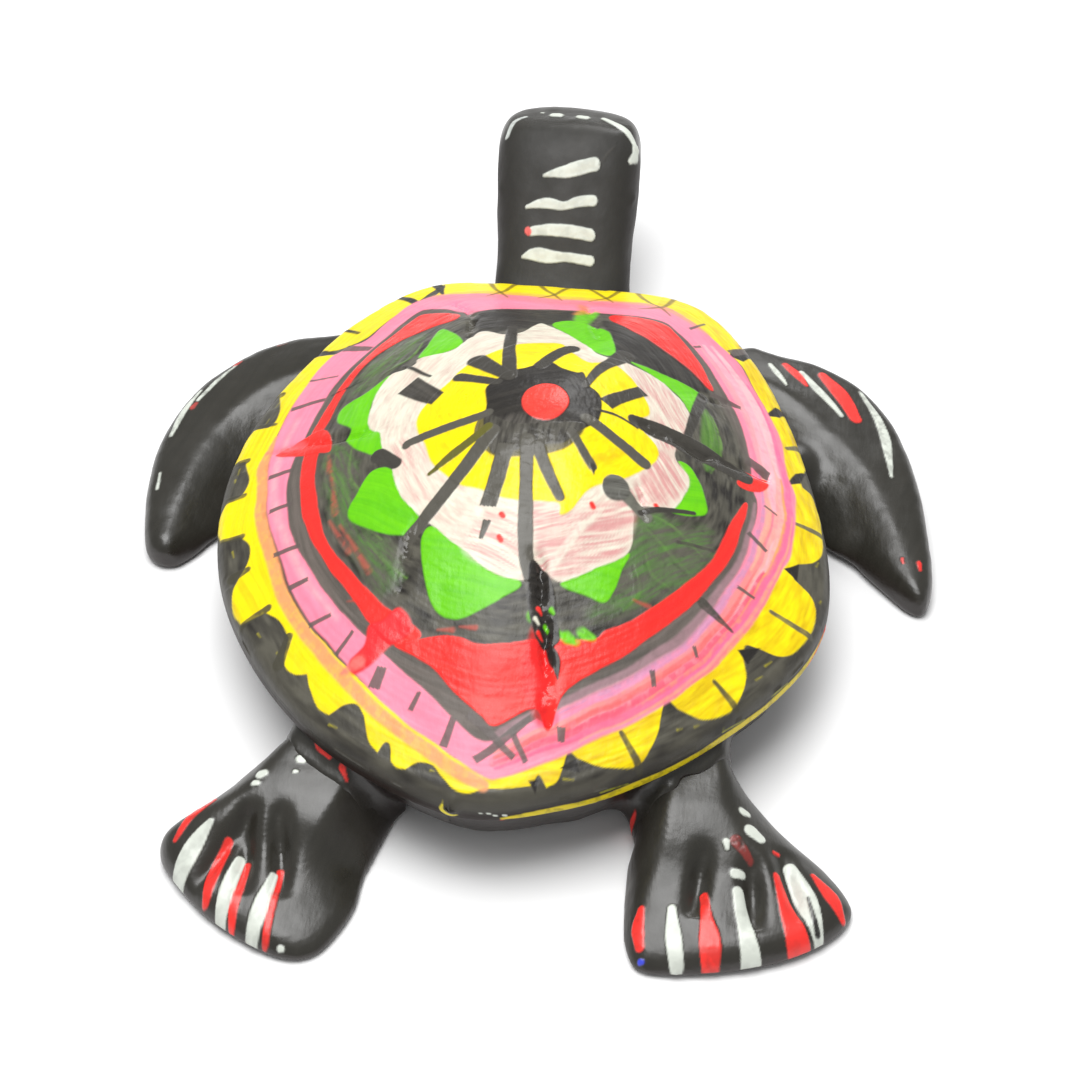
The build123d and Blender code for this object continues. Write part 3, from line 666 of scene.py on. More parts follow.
def paint_disc(coat):
    """The yellow sun, the black hub with a grey painted highlight below it, streaked like scratches, and
    the red dot.
    """
    disc = [
        (-15.5, 3.5), (-13.8, 7.5), (-11.8, 10), (-10, 13.5), (-7, 16), (-5, 17.5), (-2, 19.5),
        (0.5, 20.5), (3, 20.5), (5, 17), (7.5, 14.5), (10, 16), (12, 15.5), (15, 12), (17, 7.5),
        (15.5, 4.5), (18.5, 1), (17.8, -3), (14, -7), (10, -9.5), (8, -13), (6.5, -14),
        (6, -12.5), (2, -12.8), (-1.5, -12.3), (-5.5, -10.7), (-8.5, -9.3), (-12, -6),
        (-13.5, -2.5), (-15, 0.5),
    ]
    coat.patch(disc, YELLOW, OCHRE, 0.2, seed=33, length=4, width=0.4, thick=0.08, gloss=0.32,
               edge=0.16)
    coat.stroke([(9, -6.4), (13, -3.2), (15.4, -0.6)], [0.6, 1.6, 0.5], OCHRE, edge=0.4, dry=0.7,
                opacity=0.6)
    black_hub = [
        (-6, 6.5), (-5, 8), (-3.5, 10), (-1, 11.3), (1, 13), (2.5, 13.5), (4, 12), (6, 10.7),
        (7, 11), (8, 8.5), (10, 6.5), (10.2, 1.5), (9.8, 0.3), (8, -1.5), (6, -3.8), (4, -4.3),
        (1.8, -5), (-2.8, -6), (-4.5, -4), (-5.3, -1), (-5.5, 2),
    ]
    coat.patch(black_hub, BLACK, GREY_BLACK, 0.12, angle=20, seed=34, thick=0.05, gloss=0.34)
    # painted highlight: grey glare under the hub, streaked like scratches
    coat.patch([(-4.6, -1.4), (0, 0.4), (4.6, 0.2), (8, -1.4), (5.8, -4), (2, -5.4), (-2.6, -6.2)],
               (0.36, 0.345, 0.32), BLACK, 0.4, angle=80, seed=36, length=2, width=0.25,
               edge=0.9, opacity=0.8, thick=0.03, gloss=0.25)
    dot = [(2.6 + 3.2 * math.cos(a), 3.2 + 3.8 * math.sin(a))
           for a in np.linspace(0, 2 * math.pi, 14, endpoint=False)]
    coat.patch(dot, (0.97, 0.27, 0.22), DEEP_RED, 0.15, angle=30, seed=35, thick=0.12, gloss=0.28)


def paint_spokes(coat):
    """Black rays over the sun and the ring, and the odd dark shapes among them; the rays below the hub
    and a grey patch under it are lighter as painted glare.
    """
    rays = (                                                     # path, widths, colour, square end
        ([(-3, 9), (-4.2, 18), (-4.8, 26)], [2.2, 1.9, 1.6], STROKE, False),
        ([(1, 12.2), (2.8, 16), (4.6, 18.6)], [2, 2.3, 2.6], STROKE, False),
        ([(7.6, 8), (9.5, 14), (12.5, 20)], [1.1, 1.6, 2.8], STROKE, False),
        ([(10.8, 5.5), (15.5, 12)], [2.3, 1.9], STROKE, True),
        ([(9.4, 3.5), (12.4, 3.9), (15.4, 3.2)], [0.6, 0.5, 0.4], STROKE, False),
        ([(8.6, 1), (17, -2.9)], [1.8, 1.9], GLARE_STROKE, False),
        ([(6.8, -2), (10, -6.4)], [1.3, 1.3], GLARE_STROKE, False),
        ([(10, -6.4), (10.3, -7.4)], [0.8, 0.2], STROKE, False),
        ([(2.6, -5), (6.2, -11.6)], [1.9, 1.4], GLARE_STROKE, False),
        ([(1, -4), (2.3, -18), (4, -24)], [2, 2, 2.3], GLARE_STROKE, False),
        ([(-1.7, -4.6), (-3.2, -13.4)], [2.3, 2.3], GLARE_STROKE, True),
        ([(-4, -2.4), (-13.5, -17)], [2.2, 2], GLARE_STROKE, False),
        ([(-4.6, -1.6), (-9, -5), (-12.2, -7.6)], [1.4, 1.3, 0.6], OLIVE, False),
        ([(-5, 1), (-15, -1.2), (-16.3, -2)], [1.5, 1.6, 1.2], GLARE_STROKE, False),
        ([(-4.6, 7.8), (-10.3, 10.7)], [1.5, 2], STROKE, False),
        ([(-3.4, 9.2), (-8.4, 14.6)], [1.9, 2.9], STROKE, False),
        ([(-19.6, 17.6), (-15, 13)], [0.7, 0.5], STROKE, False),
        ([(-20, -2.5), (-17.4, -4.8)], [2.4, 1.8], STROKE, False),
        ([(-3.1, -15.6), (-3.7, -18.2)], [1.2, 0.6], GLARE_STROKE, True),
        ([(22.5, 7), (24, 18.5)], [1.2, 1.8], STROKE, False),
        ([(15, -9), (18, -11)], [1.9, 1.5], PALE_GREY, False),
        ([(17, -10.4), (24.4, -7.6)], [0.9, 0.6], STROKE, False),
        ([(15, 4.5), (19, 4.7), (24, 4.7), (30.6, 4.6)], [2.2, 3.6, 4, 3], STROKE, False),
    )
    coat.stroke([(12, -12), (8.2, -17.4), (5.6, -22.4)], [0.5, 1.2, 1.1], (0.88, 0.86, 0.79),
                dry=0.6, opacity=0.75, edge=0.3, seed=68)
    # painted highlight: grey glare under the hub, streaked like scratches
    coat.patch([(-5.6, 1), (-1, -1.4), (5, -0.6), (8.6, -0.4), (6.4, -4.4), (1.6, -6.4), (-3, -6.2),
                (-6.4, -3.2)], (0.36, 0.35, 0.32), BLACK, 0.35, angle=80, edge=0.14, seed=69,
               gloss=0.22, length=1.6, width=0.3, opacity=0.9)
    for number, (path, widths, colour, square) in enumerate(rays):
        coat.stroke(path, widths, colour, gloss=0.3, seed=70 + number, thick=0.05, blunt=square)
    coat.patch([(-13.8, 5.5), (-12.2, 7.8), (-17, 13.8), (-19.4, 10.5)], GREY_BLACK, BLACK, 0.3,
               angle=130, seed=71, smooth=False)
    coat.patch([(13.5 + 1.9 * math.cos(a), -8.3 + 1.9 * math.sin(a))
                for a in np.linspace(0, 2 * math.pi, 9, endpoint=False)], (0.44, 0.44, 0.41),
               STROKE, 0.4, angle=10, seed=72)
    coat.patch([(3.4, -20.8), (5.6, -21.6), (7.2, -25.6), (8.2, -30.2), (5.6, -30.8), (3.4, -26)], BLACK,
               GREY_BLACK, 0.2, seed=73, gloss=0.3)
    coat.stroke([(6.5, -30), (7.8, -32.4), (8.5, -34.9)], [0.5, 1.4, 0.2], BLACK, gloss=0.3)
    for x, y, colour in ((5, -26.6, RED), (6.2, -28.4, GREEN), (5.4, -29.6, RED),
                         (6.8, -26.4, GREEN), (4.8, -28, CREAM)):
        coat.stroke([(x, y), (x + 0.5, y - 0.5)], [0.6, 0.3], colour, edge=0.15)
    coat.stroke([(22.5, -13), (27.4, -12)], 0.5, GREY_BLACK, dry=0.3)
    coat.stroke([(-30.2, 15.6), (-26, 17)], [0.5, 0.4], BLACK, dry=0.5, opacity=0.7)


def paint_rim_side(coat):
    """Yellow line and smears on the shell's side, towards the right-hand rear."""
    beyond_rim = 1.034
    line = []
    for y in (-50.6, -49.2, -46, -40.6, -34.5, -27.5, -20.5, -13.5):
        x = float(np.interp(y, rim_curve[:, 1][rim_right], rim_curve[:, 0][rim_right]))
        line.append((hub[0] + (x - hub[0]) * beyond_rim, hub[1] + (y - hub[1]) * beyond_rim))
    coat.stroke(line, [0.4, 1.1, 1.4, 1.2, 1.6, 1.1, 1.5, 1.2, 0.4], (0.90, 0.81, 0.10), dry=0.35,
                seed=81)
    coat.stroke([(-4.6, -50.6), (-4.9, -51.6), (-3.9, -52.4), (-2.8, -52.2)], [0.3, 0.7, 0.7, 0.2],
                (0.93, 0.86, 0.2), edge=0.12)
    coat.stroke([(-3.6, -51), (-3.2, -51.2)], 1.1, BLACK, gloss=0.12)
    for x, y, size in ((1.2, -51.6, 0.3), (2.0, -51.9, 0.35), (3.2, -51.7, 0.4), (0.2, -51.7, 0.2)):
        coat.stroke([(x, y), (x + 0.3, y)], size, WHITE, edge=0.1)
    for number in range(9):                                      # dots of red and yellow
        a, b = np.array(line[number % 7]), np.array(line[number % 7 + 1])
        spot = a + (b - a) * abs(math.sin(5.0 * number)) * 0.9
        spot = hub + (spot - hub) * (1.012 + 0.02 * math.sin(3.0 * number))
        coat.stroke([tuple(spot), tuple(spot + (b - a) * 0.06)], [0.5, 0.2],
                    RED if number % 3 == 0 else (0.70, 0.66, 0.12), dry=0.4, seed=230 + number)
    for start in (2, 4, 5):
        a, b = np.array(line[start]), np.array(line[start + 1])
        coat.stroke([tuple(a * 0.975), tuple((a * 0.6 + b * 0.4) * 0.985)], [0.35, 0.2],
                    (0.62, 0.62, 0.15), dry=0.6, opacity=0.8, seed=83 + start)
    coat.stroke([tuple(np.array(line[6]) * 1.01), tuple(np.array(line[7]) * 1.0)], [0.4, 1.0], RED,
                dry=0.5, opacity=0.8, seed=88)


rim_right = np.nonzero((rim_curve[:, 0] > -1) & (rim_curve[:, 1] < 10))[0]
rim_right = rim_right[np.argsort(rim_curve[:, 1][rim_right])]


# ---------------------------------------------------------------------------------------------
# Meshes from arrays
# ---------------------------------------------------------------------------------------------
def make_piece(name, points, faces, material, replaces, triangles=()):
    """A smooth-shaded object from points in millimetres, four-cornered faces and triangles."""
    mesh = bpy.data.meshes.new(name)
    faces = np.asarray(faces, np.int32)
    corners = np.concatenate([faces.ravel(), np.asarray(triangles, np.int32).ravel()])
    starts = np.concatenate([np.arange(0, faces.size, 4),
                             faces.size + 3 * np.arange(len(triangles))]).astype(np.int32)
    mesh.vertices.add(len(points))
    mesh.vertices.foreach_set("co", (np.asarray(points) * MM).astype(np.float32).ravel())
    mesh.loops.add(len(corners))
    mesh.loops.foreach_set("vertex_index", corners)
    mesh.polygons.add(len(starts))
    mesh.polygons.foreach_set("loop_start", starts)
    mesh.update(calc_edges=True)
    mesh.validate()
    mesh.shade_smooth()
    piece = bpy.data.objects.new(name, mesh)
    bpy.context.collection.objects.link(piece)
    mesh.materials.append(material)
    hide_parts(*replaces)
    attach(piece, "root")
    return piece


def subdivide(piece):
    """One round of smooth subdivision, applied."""
    piece.modifiers.new("fine", "SUBSURF").levels = 1
    graph = bpy.context.evaluated_depsgraph_get()
    fine = bpy.data.meshes.new_from_object(piece.evaluated_get(graph))
    coarse = piece.data
    piece.modifiers.clear()
    piece.data = fine
    bpy.data.meshes.remove(coarse)
    fine.name = piece.name


def mesh_points(piece):
    """A piece's points and normals, in millimetres."""
    count = len(piece.data.vertices)
    points, normals = np.empty(count * 3, np.float32), np.empty(count * 3, np.float32)
    piece.data.vertices.foreach_get("co", points)
    piece.data.vertices.foreach_get("normal", normals)
    return points.reshape(-1, 3).astype(float) / MM, normals.reshape(-1, 3).astype(float)


def move_points(piece, points):
    """Put a piece's points at new places, in millimetres."""
    piece.data.vertices.foreach_set("co", (points * MM).astype(np.float32).ravel())
    piece.data.update()


def set_paint(piece, coat):
    """Store the coat's colour and roughness at the piece's points."""
    count = len(coat.colour)
    colour = piece.data.color_attributes.new("paint", "FLOAT_COLOR", "POINT")
    rgba = np.hstack([np.clip(coat.colour, 0, 1), np.ones((count, 1))]).astype(np.float32)
    colour.data.foreach_set("color", rgba.ravel())
    gloss = piece.data.attributes.new("rough", "FLOAT", "POINT")
    gloss.data.foreach_set("value", np.clip(coat.gloss, 0.05, 1).astype(np.float32))


def solid_noise(points, size, seed):
    """Smooth noise over points in space."""
    x, y, z = points.T
    return (noise(x + 0.3 * z, y, size, seed) + noise(y, z + 0.3 * x, size, seed + 1)
            + noise(z, x + 0.3 * y, size, seed + 2)) / 1.8


# ---------------------------------------------------------------------------------------------
# Carapace: dome, grooves, rounded edge, side and underside
# ---------------------------------------------------------------------------------------------
dome_cells = 600
edge_radius = 1.5
foot_radius = 0.9
side_loops = 17
groove_paths = (                                    # path, depth
    ([(4, -20), (5.5, -26), (8.2, -40)], 1.25), ([(-13, -15.5), (-14, -24)], 0.75),
    ([(-22, 3), (-29, 4.5), (-37, 5.5)], 0.7), ([(-10.5, 24), (-11.5, 31), (-15, 38)], 0.7),
    ([(8, 24), (6.5, 34), (5.5, 38)], 0.6), ([(15.5, 4.5), (24, 4.5), (34, 7)], 0.9),
    ([(16, -7.5), (18.2, -11)], 0.5), ([(24, 19), (29.5, 21.3)], 0.5),
)


def square_to_disc(cells):
    """Square grid spread evenly over a disc: share of the radius and bearing at each point."""
    line = np.linspace(-1, 1, cells + 1)
    a, b = np.meshgrid(line, line, indexing="ij")
    wide = np.abs(a) > np.abs(b)
    share = np.where(wide, a, b)
    safe_a = np.where(wide, np.where(a == 0, 1, a), 1)
    safe_b = np.where(wide, 1, np.where(b == 0, 1, b))
    turn = np.where(wide, math.pi / 4 * b / safe_a, math.pi / 2 - math.pi / 4 * a / safe_b)
    turn = np.where((a == 0) & (b == 0), 0, turn)
    x, y = share * np.cos(turn), share * np.sin(turn)
    return np.hypot(x, y), np.arctan2(y, x)


def ring_of(cells):
    """Grid points around the square's border, in order."""
    n = cells + 1
    index = np.arange(n * n).reshape(n, n)
    return np.concatenate([index[:-1, 0], index[-1, :-1], index[:0:-1, -1], index[0, :0:-1]])


def groove_depth(x, y):
    """Depth of the carved grooves, with lumps of wet paint along them."""
    depth = np.zeros(len(x))
    wander = 0.5 * noise(x, y, 3.5, 310)
    lump = 0.7 + 0.45 * noise(x, y, 1.9, 311)
    for path, deepest in groove_paths:
        curve = open_curve([(*p, 0.0) for p in path], 6)
        distance = stroke_distance(x + wander, y + wander, curve)
        depth = np.maximum(depth, deepest * lump * np.exp(-(distance / 1.0) ** 2))
    return depth


def dome_surface(x, y, share, inward, groove):
    """Heights of the carved, worn and painted dome."""
    z = dome_height(share)
    bite = np.clip(edge_radius - inward, 0, edge_radius)
    z -= edge_radius - np.sqrt(edge_radius ** 2 - bite ** 2)
    calm = step(0.0, 6.0, inward)
    z += calm * (0.26 * noise(x, y, 10, 301) + 0.12 * noise(x, y, 4.2, 302)
                 + 0.03 * noise(x, y, 1.6, 303))
    z -= groove
    z += step(0.12, 0.4, groove) * (0.22 * noise(x, y, 1.1, 312) + 0.10 * noise(x, y, 0.55, 313))
    rim_wear = step(3.0, 0.5, inward) * step(0.0, 0.6, noise(x, y, 2.2, 314))
    return z - 0.14 * rim_wear


def side_steps():
    """Loops below the dome: height, how far out, and how far out in the paint's plan."""
    top, foot = rim_top - edge_radius, rim_bottom + foot_radius
    steps = [(z, 0.12 * math.sin(math.pi * (top - z) / (top - rim_bottom)), top - z)
             for z in np.linspace(top, foot, side_loops)[1:]]
    last = steps[-1][2]
    for turn in np.linspace(0, math.pi / 2, 5)[1:]:
        steps.append((foot - foot_radius * math.sin(turn), -foot_radius * (1 - math.cos(turn)),
                      last + turn))
    return steps + [(rim_bottom, -3.0, 6.0), (rim_bottom, -9.0, 9.0), (rim_bottom, -18.0, 12.0)]


def paint_carapace(piece, plan, groove):
    """Paint the shell in its plan, then lift the surface by the paint's thickness."""
    angle = np.arctan2(plan[1] - hub[1], plan[0] - hub[0])
    away, rim = np.hypot(plan[0] - hub[0], plan[1] - hub[1]), reach(angle)
    coat = Coat(*plan, (angle * 40.0, away / rim * 44.0), BLACK)
    coat.colour[:] = coat.shade(np.arange(len(angle)), BLACK, GREY_BLACK, 0.3, 2, length=4, width=0.5)
    paint_shell(coat)
    coat.gloss[:len(groove)] -= 0.2 * step(0.2, 0.6, groove)
    coat.gloss += 0.05 * rough_noise(*plan, 2.5, 92)
    # painted shade: dull black on the shell's side turns brown-black
    side = step(0.4, 1.4, away - rim)[:, None]
    dull = coat.colour.max(1) < 0.09
    coat.colour[dull] += (linear(SHADE_BROWN_BLACK) - coat.colour[dull]) * side[dull]
    set_paint(piece, coat)

    points, normals = mesh_points(piece)
    bristle = noise(coat.along[0] / 5, coat.along[1] / 0.3, 1.0, 90)
    lift = coat.thick + 0.02 * bristle + 0.008 * noise(*plan, 0.5, 91)
    bead = (plan[0] + 3.4) ** 2 + (plan[1] + 51.2) ** 2         # one drop of paint by the tail
    lift += 0.8 * np.exp(-bead / 0.7)
    move_points(piece, points + normals * lift[:, None])


def make_carapace():
    """The domed shell: dome, rounded edge, side and a closed underside, painted."""
    share, bearing = (grid.ravel() for grid in square_to_disc(dome_cells))
    n = dome_cells + 1
    far = reach(bearing)
    x, y = hub[0] + share * far * np.cos(bearing), hub[1] + share * far * np.sin(bearing)
    groove = groove_depth(x, y)
    z = dome_surface(x, y, share, (1 - share) * far, groove)
    quad = np.arange(n * n).reshape(n, n)
    faces = np.stack([quad[:-1, :-1], quad[1:, :-1], quad[1:, 1:], quad[:-1, 1:]], -1).reshape(-1, 4)

    border = ring_of(dome_cells)
    ring_far = far[border]
    rc, rs = np.cos(bearing[border]), np.sin(bearing[border])
    solid, plan = [np.stack([x, y, z], -1)], [np.stack([x, y])]
    previous, total = border, n * n
    for height, out, paint_out in side_steps():
        solid.append(np.stack([hub[0] + (ring_far + out) * rc, hub[1] + (ring_far + out) * rs,
                               np.full(len(border), height)], -1))
        plan.append(np.stack([hub[0] + (ring_far + paint_out) * rc,
                              hub[1] + (ring_far + paint_out) * rs]))
        current = total + np.arange(len(border))
        faces = np.vstack([faces, np.stack([previous, current, np.roll(current, -1),
                                            np.roll(previous, -1)], -1)])
        previous, total = current, total + len(border)
    # flat strips across close the underside
    half = len(border) // 2
    near_side, far_side = previous[:half + 1], np.roll(previous[::-1], 1)[:half + 1]
    faces = np.vstack([faces, np.stack([near_side[1:-2], far_side[1:-2], far_side[2:-1],
                                        near_side[2:-1]], -1)])
    tips = [(previous[0], far_side[1], near_side[1]), (previous[half], near_side[-2], far_side[-2])]
    piece = make_piece("carapace_painted", np.vstack(solid), faces, shell_material(), ["carapace"],
                       tips)
    paint_carapace(piece, np.hstack(plan), groove)


# ---------------------------------------------------------------------------------------------
# Body pieces as distance fields, turned into meshes
# ---------------------------------------------------------------------------------------------
roots = {                                           # x, y and heading in degrees of each joint
    "neck": (0.0, 43.0, 90.0),
    "front_left": (-30.8, 21.3, 158.3),
    "front_right": (30.8, 21.3, 21.7),
    "hind_left": (-19.5, -37.0, 233.1),
    "hind_right": (23.5, -34.0, 306.9),
}
peg_height = 6.5
peg_end = 8.3                                       # how far a peg reaches into its limb
peg_cover = 2.9                                     # radius of the paint and wood round a peg


def lookup(pairs):
    """A smooth function through (place, value) pairs with rising places."""
    curve = open_curve(pairs, 10)
    return lambda place: np.interp(place, curve[:, 0], curve[:, 1])


def facet(p, q, r):
    """Height of the plane through three points, and how much it shortens a distance."""
    p, q, r = (np.array(v, float) for v in (p, q, r))
    normal = np.cross(q - p, r - p)
    slope_x, slope_y = -normal[0] / normal[2], -normal[1] / normal[2]
    tilt = 1 / math.sqrt(1 + slope_x ** 2 + slope_y ** 2)
    return lambda x, y: p[2] + slope_x * (x - p[0]) + slope_y * (y - p[1]), tilt


belly_share = lookup([(-4, 0.78), (0, 0.845), (5.5, 0.925), (rim_bottom, 0.965), (18, 0.975)])


def belly_field(x, y, z):
    """Distance to the belly: the shell's outline drawn in, with a rounded lower edge."""
    radius = np.hypot(x - hub[0], y - hub[1])
    side = (radius - belly_share(z) * reach(np.arctan2(y - hub[1], x - hub[0]))) * 0.94
    return smooth_max(smooth_max(side, -z, 4.5), z - rim_bottom, 0.3)


head_middle = lookup([(40, 0.2), (52, -0.3), (60, -0.6), (68, -1.1), (76, -1.35), (86, -1.5)])
head_width = lookup([(40, 10.9), (52, 11.0), (60, 10.9), (66, 11.25), (72, 11.6), (77, 11.7),
                     (86, 11.5)])
head_top = lookup([(40, 9.5), (46, 12.2), (52, 15.6), (60, 22.2), (68, 28.6), (72.5, 31.2),
                   (76, 31.5), (79, 31.0), (82, 30.2), (86, 28.8)])
head_low = lookup([(40, 1.4), (46, 1.2), (52, 1.9), (60, 5.2), (68, 10.6), (75, 15.6),
                   (80, 17.4), (86, 18.2)])


def head_field(x, y, z):
    """Distance to the head and neck, a rounded bar that rises forwards, with its brow and eyes."""
    high, low = head_top(y), head_low(y)
    wide, tall = head_width(y), (high - low) / 2
    side = np.abs(x - head_middle(y)) / wide
    rise = np.abs(z - (high + low) / 2) / tall
    front = np.clip(y - 74.0, 0, None) / 11.0
    shape = (side ** 3.2 + rise ** 2.8 + front ** 3.0) ** (1 / 3.0)
    field = (shape - 1) * np.minimum(wide, tall) * 0.85
    brow = (z - 31.2 + 0.34 * (y - 75.0)) * 0.94 + 0.05 * np.abs(x - head_middle(y))
    field = smooth_max(field, brow, 0.9)
    for eye_x in (-11.3, 9.6):
        eye = np.sqrt((x - eye_x) ** 2 + ((y - 67.0) / 1.6) ** 2 + (z - 23.0) ** 2) - 0.3
        field = smooth_min(field, eye, 1.2)
    return field


# Plan outline, ridge with its heights, slopes to the leading and trailing side, underside plane
flippers = {
    "front_left": dict(
        outline=[(-24, 38.0), (-36.7, 41.9), (-45.4, 40.2), (-52.2, 35.2), (-57.1, 28.4), (-59.3, 19.8),
                 (-59.2, 10.4), (-57.8, 2), (-55.8, -0.6), (-53, -0.7), (-50.4, 1.6), (-47.2, 5),
                 (-40, 7.2), (-30, 7)],
        ridge=[(-30, 35.5, 13.4), (-38, 33.5, 12.2), (-44.8, 29.6, 10.6), (-50.4, 22.4, 8.9),
               (-53.8, 12, 7.2), (-54.6, 1, 4.8), (-54.6, -4, 4.0)],
        slopes=(0.24, 0.82), lower=((-30, 40, 4.4), (-59, 24, 3.0), (-54, 0, 0.1))),
    "front_right": dict(
        outline=[(24, 38.4), (29.7, 45.6), (34.7, 45.2), (41.6, 44.4), (48.4, 41.2), (53.8, 34.2),
                 (57.4, 23.4), (59.2, 13.2), (59.8, 7.1), (59, 2.4), (56.4, 2.6), (51, 7.6),
                 (46.4, 11.2), (38, 10.6), (30, 8)],
        ridge=[(29, 38.5, 13.4), (35.4, 36.6, 12.6), (42.6, 31, 11.0), (49, 24.4, 9.4),
               (53.2, 16.4, 7.6), (56.2, 8, 5.8), (57.9, 2.6, 4.6), (58.6, -1, 4.2)],
        slopes=(0.20, 0.82), lower=((30, 42, 4.4), (57, 27, 3.0), (57, 3, 0.1))),
}


def flipper_field(name):
    """Distance to a flipper: an outline, a curved ridge and a facet on each side of it."""
    shape = flippers[name]
    curve = closed_curve(shape["outline"], 6)
    ridge = open_curve(shape["ridge"], 6)
    leading_slope, trailing_slope = shape["slopes"]
    lower, lower_tilt = facet(*shape["lower"])
    outward = 1 if name == "front_left" else -1
    crest = 2.3

    def field(x, y, z):
        flat_x, flat_y = x[:, :, 0], y[:, :, 0]
        plan = patch_distance(flat_x, flat_y, curve)[:, :, None] * 0.92
        nearest = np.full(flat_x.shape, 1e9)
        top = np.zeros(flat_x.shape)
        for a, b in zip(ridge, ridge[1:]):
            distance, t = segment_distance(flat_x, flat_y, a, b)
            turn = outward * ((b[0] - a[0]) * (flat_y - a[1]) - (b[1] - a[1]) * (flat_x - a[0]))
            drop = np.hypot(distance, crest) - crest
            high = a[2] + (b[2] - a[2]) * t
            steep = smooth_max(high - trailing_slope * drop, 0.8 + 0.0 * high, 1.0)
            height = np.where(turn > 0, steep, high - leading_slope * drop)
            closer = distance < nearest
            nearest = np.where(closer, distance, nearest)
            top = np.where(closer, height, top)
        top = 0.25 * (np.roll(top, 1, 0) + np.roll(top, -1, 0) + np.roll(top, 1, 1) + np.roll(top, -1, 1))
        over = (z - top[:, :, None]) * 0.9
        limb = smooth_max(smooth_max(plan, over, 2.6), (lower(x, y) - z) * lower_tilt, 1.8) - 0.25
        past_peg = np.clip(root_distance(name, x, y) - peg_end, 0, None)
        across = root_distance(name, y, -x, turned=True)
        swelling = np.sqrt(across ** 2 + (z - peg_height) ** 2 + past_peg ** 2) - peg_cover
        return smooth_min(limb, swelling, 3.2)
    return field


# Plan outline, then heights and side slopes against the distance behind the middle of the shell
feet = {
    "hind_left": dict(
        outline=[(-21, -31), (-27.4, -36.9), (-32, -40.8), (-36.9, -45.1), (-42.3, -50.1),
                 (-42.9, -53.5), (-40.4, -57), (-35.1, -61.8), (-28.3, -65.7), (-22.7, -67.4),
                 (-18.8, -66), (-16.2, -61.7), (-14.3, -57.1), (-13.4, -51.8), (-12.6, -45.5),
                 (-12, -39)],
        top=[(30, 11.6), (37, 11.6), (44, 10.6), (49.5, 8.9), (53.5, 6.6), (58, 5.0), (62, 4.1),
             (67, 3.0), (72, 2.0)],
        middle=((-21, -38), (-29.5, -64)), crown=0.010,
        inner=[(30, -15.5), (44, -18.4), (57.6, -23), (68, -22)],
        inner_slope=[(30, 0.9), (44, 1.5), (57.6, 0.36), (68, 0.14)],
        outer=[(30, -25), (44, -30), (54, -40), (70, -50)],
        outer_slope=[(30, 1.2), (44, 0.7), (54, 0.2), (70, 0.1)],
        toes=[((-31.5, -50), (-37.4, -60.5)), ((-30.9, -49.8), (-30.2, -60)),
              ((-26.8, -49.8), (-24.9, -60))]),
    "hind_right": dict(
        outline=[(26, -29), (30.9, -32.6), (33.2, -36.6), (38.6, -40.2), (46.3, -44.8),
                 (49.9, -50.2), (49.2, -53.7), (45.4, -57.5), (39.1, -60.9), (30.2, -63.4),
                 (22.4, -64), (19.9, -60.6), (19.2, -55.3), (19.4, -48.4), (20.2, -44.3),
                 (18.4, -38), (18, -32)],
        top=[(28, 11.6), (34, 11.6), (42, 10.4), (47, 8.6), (51, 6.6), (55, 5.2), (59, 4.3),
             (63.5, 3.2), (70, 2.0)],
        middle=((25, -35), (33.5, -62)), crown=0.010,
        inner=[(28, 33), (39, 31.6), (46, 34.6), (54, 44), (66, 52)],
        inner_slope=[(28, 1.0), (39, 0.9), (46, 0.5), (54, 0.2), (66, 0.1)],
        outer=[(28, 21.6), (42.5, 24), (55.8, 21.8), (66, 20)],
        outer_slope=[(28, 1.0), (42.5, 1.0), (55.8, 0.8), (66, 0.3)],
        toes=[((29.4, -49), (28.6, -57)), ((35.8, -50), (36.8, -58)), ((39.6, -47.6), (43, -56))]),
}


def foot_field(name):
    """Distance to a hind leg: a crowned top with sloping sides and scoops between the toes."""
    shape = feet[name]
    curve = closed_curve(shape["outline"], 6)
    top_height = lookup(shape["top"])
    slopes = [(lookup(shape["inner"]), lookup(shape["inner_slope"]), 1),
              (lookup(shape["outer"]), lookup(shape["outer_slope"]), -1)]
    (ax, ay), (bx, by) = shape["middle"]

    def field(x, y, z):
        flat_x, flat_y = x[:, :, 0], y[:, :, 0]
        plan = patch_distance(flat_x, flat_y, curve)[:, :, None] * 0.92
        along = ((by - ay) * (flat_x - ax) - (bx - ax) * (flat_y - ay)) / math.hypot(bx - ax, by - ay)
        top = top_height(-flat_y) - shape["crown"] * along ** 2 * step(30, 50, -flat_y) * 0.6
        for edge, slope, side in slopes:
            past = side * (flat_x - edge(-flat_y))
            top = smooth_min(top, top - slope(-flat_y) * past, 1.2)
        for a, b in shape["toes"]:
            distance, t = segment_distance(flat_x, flat_y, a, b)
            depth = 1.7 * np.sin(math.pi * np.clip(0.2 + 0.8 * t, 0, 1)) ** 0.8
            top = top - depth * np.exp(-(distance / 1.35) ** 2)
        over = (z - top[:, :, None]) * 0.93
        return smooth_max(smooth_max(plan, over, 3.0), 0.05 - z, 1.6)
    return field


